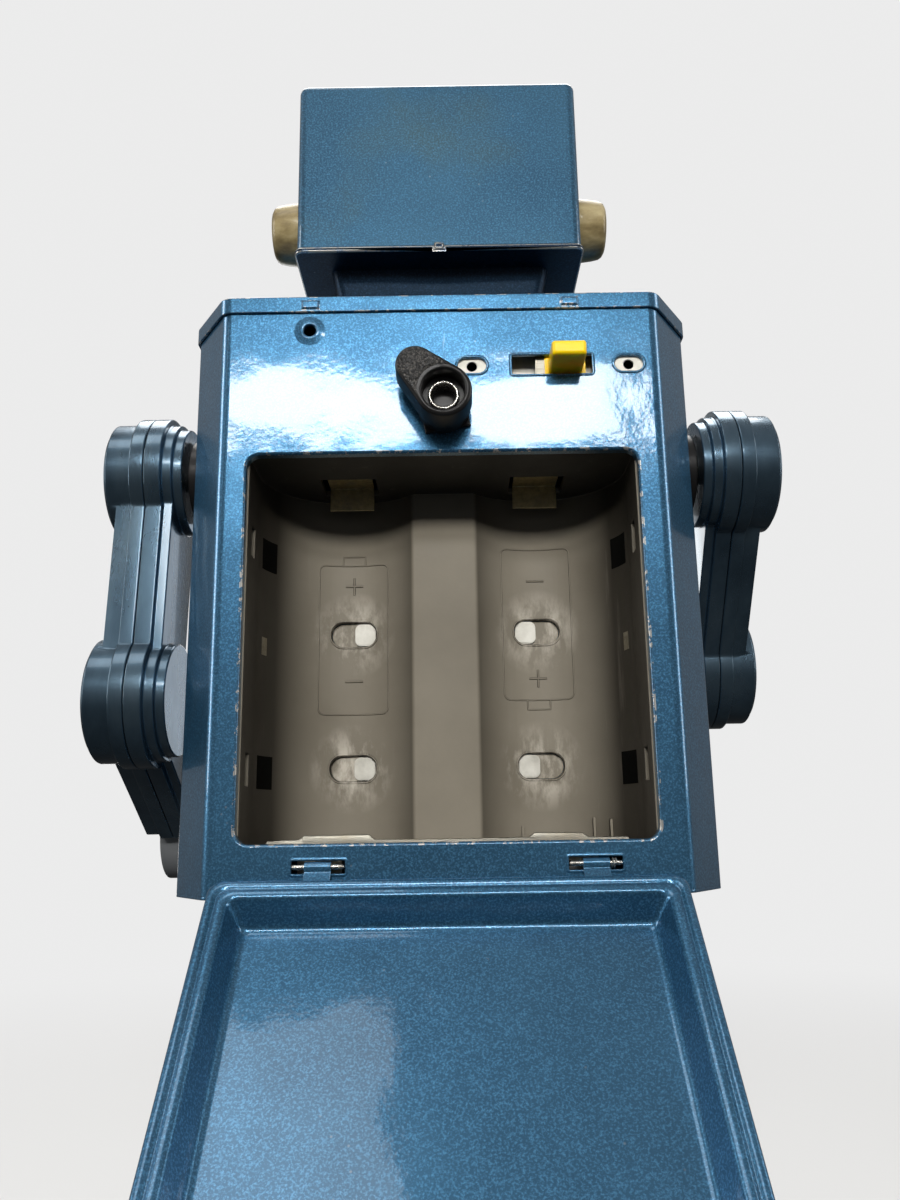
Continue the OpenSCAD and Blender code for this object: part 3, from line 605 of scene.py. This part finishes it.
def build_back_details():
    """The pressed lips round the slots, and the dimple round the small hole."""
    bm = bmesh.new()
    switch_z = box("switch_knob")[0].z + 3.2
    for z, row in ((switch_z, SWITCH_ROW), (pivot("door_hinge").z, HINGE_ROW)):
        for left, right, half, r in row:
            outline = round_rect(left, right, z - half, z + half, r, 6)
            pressed_ring(bm, with_normals(outline), SLOT_LIP)
    hole = [(HOLE_X + x, HOLE_Z + y) for x, y in circle(HOLE_R, 32)]
    pressed_ring(bm, with_normals(hole), HOLE_DIMPLE)
    finish_piece("back_lips", bm, blue_tin, "torso", sharp=60)


build_body()
build_back_details()
soften("top_cap", 0.28, blue_tin, edge_material=blue_edge)
soften("base_plate", 0.12, blue_tin)

# ---- Battery box ------------------------------------------------------------------------------


def cradle_point(s, across, z, lift=0.0):
    """A point on the wall of a cradle: across is measured round the wall from its deepest line."""
    a = across / CRADLE_R
    r = CRADLE_R - lift
    return (s * CELL_PITCH / 2 + r * math.sin(a), CRADLE_Y - r * math.cos(a), z)


def fine_line(points, gap=1.0):
    """Points added along straight stretches, so that a line can follow a curved wall."""
    out = []
    for (ax, az), (bx, bz) in zip(points, points[1:]):
        count = max(1, int(math.hypot(bx - ax, bz - az) / gap))
        out += [(ax + (bx - ax) * k / count, az + (bz - az) * k / count) for k in range(count)]
    return out + [points[-1]]


def raised_line(bm, s, points, r=0.17):
    """A raised line on a cradle's wall, through points given as (across, height)."""
    tube(bm, [cradle_point(s, a, z, 0.03) for a, z in fine_line(points)], r)


# The outline of a cell in each cradle: side, lowest and highest point over the torso's floor, and
# whether its small end is up (1) or down (-1)
CELL_MARKS = ((1, 35.2, 67.5, 1), (-1, 37.7, 70.5, -1))
MARK_HALF = 7.6
NUB_HALF = 2.4
NUB_HEIGHT = 2.0
SIGN_HALF = 1.9
SIGN_R = 0.24


def build_cradle_marks():
    """Raised outlines of a cell with plus and minus marks, and raised rims round the windows."""
    bm = bmesh.new()
    for s, lowest, highest, up in CELL_MARKS:
        low = FLOOR_OF_TORSO + lowest
        high = FLOOR_OF_TORSO + highest
        corners = round_rect(-MARK_HALF, MARK_HALF, low, high, 1.4, 4)
        raised_line(bm, s, corners + corners[:1])
        small_end, large_end = (high, low) if up > 0 else (low, high)
        tip = small_end + up * NUB_HEIGHT
        nub = [(-NUB_HALF, small_end), (-NUB_HALF, tip), (NUB_HALF, tip), (NUB_HALF, small_end)]
        raised_line(bm, s, nub)
        plus = small_end - up * 4.6
        minus = large_end + up * 7.0
        raised_line(bm, s, [(-SIGN_HALF, plus), (SIGN_HALF, plus)], SIGN_R)
        raised_line(bm, s, [(0, plus - SIGN_HALF), (0, plus + SIGN_HALF)], SIGN_R)
        raised_line(bm, s, [(-SIGN_HALF, minus), (SIGN_HALF, minus)], SIGN_R)
        for z in WINDOW_HEIGHTS:
            pill = round_rect(-RIM_HALF_X, RIM_HALF_X, -RIM_HALF_Z, RIM_HALF_Z, 2.7, 6)
            rim = [(x, z + y) for x, y in pill]
            raised_line(bm, s, rim + rim[:1], 0.20)
    finish_piece("cradle_marks", bm, box_plastic, "torso", sharp=80)


def build_windows():
    """The dull backs of the windows, and the bright ends of the contact strips that show in them."""
    backs, contacts = bmesh.new(), bmesh.new()
    deep = CRADLE_Y - CRADLE_R
    for s in (-1, 1):
        x = s * CELL_PITCH / 2
        for z in WINDOW_HEIGHTS:
            pill = round_rect(x - WINDOW_HALF_X, x + WINDOW_HALF_X, z - WINDOW_HALF_Z, z + WINDOW_HALF_Z,
                              2.45, 8)
            loft(backs, [[(px, y, pz) for px, pz in pill] for y in (deep - 1.35, deep - 0.95)])
            x0, x1 = sorted((x - s * 0.2, x - s * 4.55))
            for inset, y0, y1 in ((0.0, deep - 0.95, deep - 0.32), (0.22, deep - 0.32, deep - 0.20)):
                plate = round_rect(x0 + inset, x1 - inset, z - 2.35 + inset, z + 2.35 - inset,
                                   1.25 - inset, 6)
                loft(contacts, [[(px, y, pz) for px, pz in plate] for y in (y0, y1)])
    finish_piece("window_backs", backs, box_plastic, "torso")
    finish_piece("window_ends", contacts, tinned, "torso", ("window_contacts",))


def wall_patch(bm, s, span, heights):
    """A thin plate that lies on the steep outer wall of a cradle."""
    section = [(heights[0], 0.06), (heights[1], 0.06), (heights[1], -0.25), (heights[0], -0.25)]
    arcs = [s * (span[0] + (span[1] - span[0]) * k / 4) for k in range(5)]
    loft(bm, [[cradle_point(s, across, z, lift) for z, lift in section] for across in arcs])


# Ribs by the floor of the box: place across and height
RIBS = ((-15.2, 3.2), (-29.4, 4.6), (-32.4, 4.2))
# Heights over the torso's floor: the ends of each side contact, and the middles of the side slots
SIDE_CONTACT = (46.0, 49.6)
SIDE_SLOTS = (22.8, 66.8)
SIDE_SLOT_HALF = 3.2
# The contact strip's turned-up edge: its section as (height, Y), then (X, factor on the height)
EDGE_SECTION = ((0.3, 27.9), (1.5, 28.0), (1.7, 28.2), (1.7, 28.4), (1.5, 28.6), (0.3, 28.7))
EDGE_HEIGHTS = (
    (32.5, 0.1), (32.0, 0.62), (26.5, 0.70), (25.5, 1.10), (14.0, 1.15), (13.0, 0.66), (2.0, 0.58),
    (-8.0, 0.62), (-14.5, 0.66), (-15.5, 1.10), (-24.0, 1.00), (-25.0, 0.60), (-32.0, 0.54), (-32.5, 0.1),
)


def build_ribs(low):
    """Moulded ribs on the wall of the right cradle, by the floor of the box."""
    bm = bmesh.new()
    for x, tall in RIBS:
        rib = round_rect(x - 0.22, x + 0.22, low, low + tall, 0.2, 3)
        depth = CRADLE_Y - math.sqrt(max(0.0, CRADLE_R ** 2 - (abs(x) - CELL_PITCH / 2) ** 2))
        loft(bm, [[(px, y, pz) for px, pz in rib] for y in (depth - 0.2, depth + 1.3)])
    finish_piece("box_ribs", bm, box_plastic, "torso")


def build_side_pieces(low):
    """The contacts and the painted shadows in the slots on the outer walls, and the contact strip's
    turned-up edge.
    """
    contacts, slots = bmesh.new(), bmesh.new()
    for s in (-1, 1):
        wall_patch(contacts, s, (21.5, 23.6), [FLOOR_OF_TORSO + z for z in SIDE_CONTACT])
        # Near-black patches on the walls: painted shadow where the side slots are
        for middle in SIDE_SLOTS:
            z = FLOOR_OF_TORSO + middle
            wall_patch(slots, s, (18.6, 24.4), (z - SIDE_SLOT_HALF, z + SIDE_SLOT_HALF))
    loft(contacts, [[(x, y, low + h * tall) for h, y in EDGE_SECTION] for x, tall in EDGE_HEIGHTS])
    finish_piece("side_contacts", contacts, plain_steel, "torso")
    finish_piece("painted_side_slot_shadows", slots, painted_slot_shadow, "torso")


soften("battery_box", 0.22, box_plastic, 2, 60)
build_cradle_marks()
build_windows()
box_floor = box("battery_box")[0].z + 1.3
build_ribs(box_floor)
build_side_pieces(box_floor)
soften("contact_strip", 0.16, nickel, 2)
soften("cell_tabs", 0.14, brass, 2)

# ---- Battery door -----------------------------------------------------------------------------

DOOR_OPEN = 135.0
DOOR_HALF = box("battery_door")[1].x
DOOR_LENGTH = 79.2
DOOR_GAP = 2.6
DOOR_FACE = [
    # (inset at the sides, at the hinge end, at the free end, height outwards), from the middle out
    (9.0, 9.0, 12.0, 5.80), (6.9, 6.9, 9.6, 5.78), (6.2, 6.2, 8.9, 5.62), (5.75, 5.75, 8.45, 5.20),
    (5.45, 5.45, 8.15, 4.60), (3.95, 3.95, 6.65, 0.75), (3.70, 3.70, 6.40, 0.35), (3.35, 3.35, 6.05, 0.14),
    (2.90, 2.90, 5.60, 0.04), (2.45, 2.45, 4.60, 0.02), (2.20, 2.20, 2.80, 0.10), (2.02, 2.02, 2.10, 0.34),
    (1.78, 1.78, 1.80, 0.40), (1.58, 1.58, 1.58, 0.30), (1.35, 1.35, 1.35, 0.06), (0.95, 0.95, 0.95, -0.06),
    (0.45, 0.45, 0.45, 0.00), (0.10, 0.10, 0.10, 0.25), (0.0, 0.0, 0.0, 0.70), (0.10, 0.10, 0.10, 1.10),
    (0.45, 0.45, 0.45, 1.30), (1.60, 1.60, 1.60, 1.30), (1.72, 1.72, 1.72, 0.72), (3.00, 3.00, 5.70, 0.70),
    (3.40, 3.40, 6.10, 1.00), (5.00, 5.00, 7.70, 5.70), (5.35, 5.35, 8.05, 6.20), (6.00, 6.00, 8.70, 6.40),
]


def build_door():
    """One pressed tray with a rolled hem, and the two tabs that turn on the hinge wires."""
    place = Matrix.Translation(pivot("door_hinge")) @ Matrix.Rotation(math.radians(-DOOR_OPEN), 4, "X")
    bm = bmesh.new()
    rings = []
    for side, hinge, free, height in DOOR_FACE:
        r = max(0.8, 2.6 - 0.25 * side)
        flat = round_rect(-DOOR_HALF + side, DOOR_HALF - side, DOOR_GAP + hinge, DOOR_LENGTH - free, r, 7)
        rings.append([place @ Vector((x, height, z)) for x, z in flat])
    loft(bm, rings)
    for x in HINGE_XS:
        tab = [(0.1, DOOR_GAP + 0.9), (0.7, DOOR_GAP + 0.9), (0.75, 0.75), (0.95, 0.0), (0.67, -0.67),
               (0.0, -0.95), (-0.67, -0.67), (-0.95, 0.0), (-0.67, 0.67), (0.0, 0.94), (0.1, 1.2)]
        across = (x - 2.3, x - 2.15, x + 2.15, x + 2.3)
        loft(bm, [[place @ Vector((px, y, z)) for y, z in tab] for px in across])
    finish_piece("door_skin", bm, blue_tin, "door", ("battery_door",), sharp=50)


build_door()
soften("hinge_wires", 0.02, nickel, 1, 80)

# ---- Lever and switch -------------------------------------------------------------------------


def build_eyelet():
    """The hollow rivet that the lever turns on, with its rolled lip."""
    centre = pivot("lever_turn")
    low, high = box("lever_eyelet")
    turns = [math.radians(degrees) for degrees in range(-40, 201, 20)]
    lip = [(2.62 + 0.36 * math.cos(a), high.y - 0.40 + 0.38 * math.sin(a)) for a in turns]
    profile = [(4.2, low.y), (4.2, low.y + 0.6), (2.68, low.y + 0.6), (2.66, high.y - 0.9), *lip,
               (2.25, low.y + 2.0), (2.25, low.y)]
    bm = bmesh.new()
    lathe(bm, profile, at(centre.x, 0, centre.z) @ ALONG_Y, 64, caps=False)
    finish_piece("eyelet_skin", bm, nickel, "torso", ("lever_eyelet",), sharp=60)


# The lever's outline: radius at its axis, radius at its tip, and the distance between the two
LEVER_BIG = 5.3
LEVER_SMALL = 3.7
LEVER_LENGTH = 7.4


def tear_point(angle, grow):
    """The point of the lever's outline in one direction from its axis, grown outwards by grow."""
    lean = math.acos((LEVER_BIG - LEVER_SMALL) / LEVER_LENGTH)
    big, small = LEVER_BIG + grow, LEVER_SMALL + grow
    direction = Vector((math.cos(angle), math.sin(angle)))
    tangent = Vector((math.cos(lean), math.sin(lean)))
    if abs(angle) >= lean:
        return direction * big
    side = 1 if angle >= 0 else -1
    start = Vector((tangent.x * big, side * tangent.y * big))
    end = Vector((LEVER_LENGTH + tangent.x * small, side * tangent.y * small))
    if abs(angle) > math.atan2(abs(end.y), end.x):
        run = end - start
        scale = (start.x * run.y - start.y * run.x) / (direction.x * run.y - direction.y * run.x)
        return direction * scale
    half = direction.x * LEVER_LENGTH
    return direction * (half + math.sqrt(max(0.0, half * half - LEVER_LENGTH ** 2 + small ** 2)))


def lever_place():
    """Moves lever points (along the arm, across it, height above its top) into the model."""
    centre = pivot("lever_turn")
    top = box("catch_lever")[1].y
    tip = Vector((math.cos(math.radians(45)), 0, math.sin(math.radians(45))))
    across = Vector((-tip.z, 0, tip.x))
    return lambda u, v, h: Vector((centre.x, top + h, centre.z)) + tip * u + across * v


def build_lever():
    """The lever: a tapered arm round a deep round well, with soft edges."""
    place = lever_place()
    angles = [2 * math.pi * k / 120 - math.pi for k in range(120)]
    wall = [(0.0, -5.9), (0.10, -5.6), (0.05, -3.0), (0.0, -0.7), (-0.12, -0.34), (-0.36, -0.10),
            (-0.70, 0.0)]
    well = [(4.45, 0.0), (4.22, -0.08), (4.06, -0.28), (4.0, -0.6), (3.9, -3.4), (2.85, -3.5), (2.75, -5.9)]
    rings = []
    for grow, h in wall:
        rings.append([place(p.x, p.y, h) for p in (tear_point(a, grow) for a in angles)])
    for r, h in well:
        rings.append([place(r * math.cos(a), r * math.sin(a), h) for a in angles])
    bm = bmesh.new()
    loft(bm, rings, caps=False)
    collar = [(2.9, -9.3), (4.9, -9.3), (5.0, -9.0), (5.0, -5.8), (2.9, -5.8)]
    lathe(bm, collar, at(*place(0, 0, 0)) @ ALONG_Y)
    finish_piece("lever_skin", bm, black_plastic, "lever", ("catch_lever",), sharp=50)


def build_grain():
    """The coarse grained face on the lever's tip."""
    place = lever_place()
    lean = math.acos((LEVER_BIG - LEVER_SMALL) / LEVER_LENGTH)
    small = LEVER_SMALL - 0.42
    edge = [(LEVER_LENGTH + small * math.cos(a), small * math.sin(a))
            for a in (-lean + 2 * lean * k / 24 for k in range(25))]
    edge += [(5.0 * math.cos(a), 5.0 * math.sin(a)) for a in (0.98 - 1.96 * k / 16 for k in range(17))]
    mid_u = sum(u for u, v in edge) / len(edge)
    mid_v = sum(v for u, v in edge) / len(edge)
    rings = []
    for keep, h in ((1.0, -0.3), (1.0, 0.05), (0.96, 0.14), (0.70, 0.18), (0.35, 0.19)):
        rings.append([place(mid_u + keep * (u - mid_u), mid_v + keep * (v - mid_v), h) for u, v in edge])
    bm = bmesh.new()
    loft(bm, rings)
    finish_piece("lever_grain", bm, grained_plastic, "lever")


KNOB_HALF_X = 3.3
KNOB_HALF_Z = 1.5
KNOB_FOOT = 2.3


def build_knob():
    """The sliding knob: a soft-edged block with fine grip ridges, on a wider foot."""
    low, high = box("switch_knob")
    x = (low.x + high.x) / 2
    z = (low.z + high.z) / 2
    steps = [(0.0, low.y + KNOB_FOOT), (0.0, high.y - 0.9), (0.10, high.y - 0.45), (0.32, high.y - 0.14),
             (0.62, high.y)]
    rings = []
    for inset, y in steps:
        outline = round_rect(x - KNOB_HALF_X + inset, x + KNOB_HALF_X - inset,
                             z - KNOB_HALF_Z + inset, z + KNOB_HALF_Z - inset, 0.5, 4)
        rings.append([(px, y, pz) for px, pz in outline])
    bm = bmesh.new()
    loft(bm, rings)
    for k in range(6):
        y = high.y - 1.2 - 0.85 * k
        ridge = round_rect(x - 2.9, x + 2.9, y - 0.22, y + 0.22, 0.2, 3)
        loft(bm, [[(px, py, pz) for px, py in ridge] for pz in (z + 1.42, z + 1.60)])
    foot = round_rect(x - 4, x + 4, z - 3.2, z + 3.2, 0.4, 3)
    loft(bm, [[(px, y, pz) for px, pz in foot] for y in (low.y, low.y + KNOB_FOOT)])
    finish_piece("knob_skin", bm, yellow_plastic, "switch", ("switch_knob",), sharp=50)


def build_knob_leaf():
    """The steel leaf that the knob carries behind the slot, short enough to pass the switch plate."""
    low, high = box("switch_knob")
    x = (low.x + high.x) / 2
    z = (low.z + high.z) / 2
    leaf = round_rect(x - 3.2, x + 5.8, z - 2.9, z + 2.9, 0.3, 3)
    bm = bmesh.new()
    loft(bm, [[(px, y, pz) for px, pz in leaf] for y in (low.y + 1.6, low.y + 2.0)])
    finish_piece("knob_leaf", bm, plain_steel, "switch")


build_lever()
build_grain()
build_eyelet()
soften("lever_washer", 0.12, black_plastic, 2)
build_knob()
build_knob_leaf()
soften("switch_plate", 0.12, tinned, 2, 60)

# ---- Head -------------------------------------------------------------------------------------


def build_head():
    """The head's shell: upright walls, soft edges and a slightly crowned top."""
    low, high = box("head_shell")
    mid_x, mid_y = (low.x + high.x) / 2, (low.y + high.y) / 2
    half_x, half_y = (high.x - low.x) / 2, (high.y - low.y) / 2
    steps = [(0.25, low.z), (0.0, low.z + 0.25), (0.0, high.z - 9), (0.0, high.z - 1.5),
             (0.10, high.z - 1.0), (0.40, high.z - 0.55), (0.85, high.z - 0.28), (1.6, high.z - 0.12),
             (7.0, high.z - 0.04), (15.0, high.z)]
    rings = []
    for inset, z in steps:
        sag = 0.55 if z > high.z - 1.6 else 0.0
        outline = round_rect(inset - half_x, half_x - inset, inset - half_y, half_y - inset,
                             max(0.7, 1.9 - inset), 6)
        rings.append([(mid_x + x, mid_y + y, z - sag * (x / half_x) ** 2) for x, y in outline])
    bm = bmesh.new()
    loft(bm, rings)
    finish_piece("head_skin", bm, blue_head, "torso", ("head_shell",), sharp=40)


def build_ear(side):
    """A turned knob with a rounded end and a shallow groove near its root."""
    node = "ear_left" if side > 0 else "ear_right"
    low, high = box(node)
    head = box("head_shell")[1].x
    tall = (high.x if side > 0 else -low.x) - head
    profile = [(2.4, -2.0), (6.4, -0.2), (6.9, 0.1), (7.0, 0.5), (6.95, 1.0), (6.75, 1.25), (6.80, 1.6),
               (6.7, 2.8), (6.45, tall - 2.6), (6.15, tall - 1.2), (5.7, tall - 0.55), (5.0, tall - 0.16),
               (3.8, tall - 0.03), (1.5, tall), (0.3, tall)]
    outwards = ALONG_X if side > 0 else ALONG_X.inverted()
    bm = bmesh.new()
    lathe(bm, profile, at(side * head, (low.y + high.y) / 2, (low.z + high.z) / 2) @ outwards)
    finish_piece(node + "_skin", bm, ear_plastic, "torso", (node,), sharp=45)


EYE_XS = (-14, 14)
LAMP_XS = (-18, 0, 18)


def middle_height(node):
    low, high = box(node)
    return (low.z + high.z) / 2


def build_bezels(name, xs, z, wall, radius, thick):
    """Rolled nickel rings, sunk a little into the front wall of the given node."""
    y = box(wall)[0].y - 0.1
    profile = [(radius + x, 0.9 * h) for x, h in circle(thick, 14)]
    bm = bmesh.new()
    for x in xs:
        rings = [[(x + r * cx, y - h, z + r * cy) for cx, cy in circle(1.0, 40)] for r, h in profile]
        loft(bm, rings, caps=False)
    finish_piece(name, bm, nickel, "torso", sharp=80)


build_head()
build_ear(1)
build_ear(-1)
# Painted highlight, with worn chips: the base's rounded edges take the lighter edge lacquer
# Painted shade: the head's base takes the darker copy of the blue lacquer
soften("head_base", 0.38, dark_tin, 4, edge_material=worn_edge_painted_highlight)
build_bezels("eye_rings", EYE_XS, middle_height("eye_lenses"), "head_shell", 6.0, 0.55)
build_bezels("lamp_rings", LAMP_XS, middle_height("chest_lamps"), "chest_panel", 5.5, 0.6)
soften("chest_panel", 0.4, silver_tin)
soften("mouth_grille", 0.15, nickel, 2, 60)

# ---- Arms and hands ---------------------------------------------------------------------------

for side in ("left", "right"):
    soften("arm_outer_" + side, 0.34, blue_plastic, angle=50)
    soften("arm_inner_" + side, 0.34, blue_plastic, angle=50)
    soften("hand_" + side, 0.3, grey_plastic, angle=50)
soften("shoulder_bushes", 0.3, black_plastic, angle=50)

# ---- Legs -------------------------------------------------------------------------------------

for side in ("left", "right"):
    soften("shoe_" + side, 0.3, blue_plastic, angle=50)
    soften("leg_shell_" + side, 0.25, blue_tin, angle=50)

# ---- Floor and lights -------------------------------------------------------------------------

BACKDROP = (0.835, 0.835, 0.835)
FLOOR_TONE = tuple(0.80 * c for c in BACKDROP)
FADE_START = 0.15
FADE_END = 0.9


def pale_material():
    """A matt floor that fades into the backdrop's own tone away from the toy."""
    g = Graph("pale floor")
    tone = g.noise(3, 2)
    g.colour(g.ramp(tone, "Fac", [(0.3, FLOOR_TONE), (0.7, tuple(0.98 * c for c in FLOOR_TONE))]))
    g.fix(Roughness=0.9, Specular_IOR_Level=0.0)
    far = g.add("ShaderNodeVectorMath", operation="LENGTH")
    g.link(g.place, "Object", far, 0)
    fade = g.add("ShaderNodeMapRange", interpolation_type="SMOOTHSTEP")
    fade.inputs["From Min"].default_value = FADE_START
    fade.inputs["From Max"].default_value = FADE_END
    g.link(far, "Value", fade, "Value")
    glow = g.add("ShaderNodeEmission")
    glow.inputs["Color"].default_value = (*BACKDROP, 1)
    blend = g.add("ShaderNodeMixShader")
    g.link(fade, 0, blend, 0)
    g.link(g.shader, 0, blend, 1)
    g.link(glow, 0, blend, 2)
    g.link(blend, 0, g.out, "Surface")
    return g.material


def build_floor():
    """The floor under the toy, which bounces no light and shows in no reflection."""
    bm = bmesh.new()
    bmesh.ops.create_circle(bm, cap_ends=True, radius=6.0, segments=96)
    mesh = bpy.data.meshes.new("floor")
    bm.to_mesh(mesh)
    bm.free()
    mesh.materials.append(pale_material())
    floor = bpy.data.objects.new("floor", mesh)
    floor.location.z = cad_box[0].z
    floor.visible_diffuse = False
    floor.visible_glossy = False
    bpy.context.scene.collection.objects.link(floor)


def soft_light(name, place, target, width, height, power, shine=True):
    """A rectangular softbox; one without shine lights matt surfaces but shows in no reflection."""
    data = bpy.data.lights.new(name, "AREA")
    data.shape = "RECTANGLE"
    data.size = width
    data.size_y = height
    data.energy = power
    data.color = (1.0, 0.99, 0.97)
    light = bpy.data.objects.new(name, data)
    light.location = place
    light.rotation_euler = (Vector(target) - Vector(place)).to_track_quat("-Z", "Y").to_euler()
    light.visible_glossy = shine
    bpy.context.scene.collection.objects.link(light)


# The room's grey at levels from straight below (0) to straight above (1)
ROOM_TONES = ((0.38, 0.035), (0.51, 0.140), (0.95, 0.26))


def build_world():
    """A pale backdrop for the camera, and a dim room, lighter overhead, for everything else."""
    world = bpy.data.worlds.new("studio")
    bpy.context.scene.world = world
    world.use_nodes = True
    tree = world.node_tree
    tree.nodes.clear()
    out = tree.nodes.new("ShaderNodeOutputWorld")
    mix = tree.nodes.new("ShaderNodeMixShader")
    path = tree.nodes.new("ShaderNodeLightPath")
    seen = tree.nodes.new("ShaderNodeBackground")
    room = tree.nodes.new("ShaderNodeBackground")
    place = tree.nodes.new("ShaderNodeTexCoord")
    parts = tree.nodes.new("ShaderNodeSeparateXYZ")
    height = tree.nodes.new("ShaderNodeMapRange")
    ramp = tree.nodes.new("ShaderNodeValToRGB")
    height.inputs["From Min"].default_value = -1.0
    elements = ramp.color_ramp.elements
    elements.new(0.5)
    for element, (level, grey) in zip(elements, ROOM_TONES):
        element.position = level
        element.color = (grey, grey, grey, 1)
    seen.inputs["Color"].default_value = (*BACKDROP, 1)
    tree.links.new(place.outputs["Generated"], parts.inputs[0])
    tree.links.new(parts.outputs["Z"], height.inputs["Value"])
    tree.links.new(height.outputs[0], ramp.inputs[0])
    tree.links.new(ramp.outputs[0], room.inputs["Color"])
    tree.links.new(path.outputs["Is Camera Ray"], mix.inputs[0])
    tree.links.new(room.outputs[0], mix.inputs[1])
    tree.links.new(seen.outputs[0], mix.inputs[2])
    tree.links.new(mix.outputs[0], out.inputs["Surface"])


build_floor()
build_world()
bpy.context.scene.view_settings.view_transform = "Standard"
back = BACK * MM
toy_middle = (0, 0, 0.16)
soft_light("window", (0.03, back + 1.0, 0.655), (0, back, 0.22), 0.56, 0.09, 3.2)
soft_light("window wash", (0.02, back + 1.0, 0.50), (0, back, 0.20), 0.50, 0.12, 10.0, shine=False)
soft_light("ceiling", (0.40, 0.50, 1.35), (0.40, 0.50, 0), 0.64, 0.50, 2.1)
soft_light("front overhead", (0.0, -0.60, 1.45), toy_middle, 1.0, 0.8, 12.0)
soft_light("front card", (0.35, -1.40, 0.42), toy_middle, 0.8, 0.7, 3.6)
soft_light("left side", (1.35, 0.20, 0.62), toy_middle, 0.35, 0.9, 5.5)
soft_light("right side", (-1.35, 0.15, 0.62), toy_middle, 0.35, 0.9, 4.0)
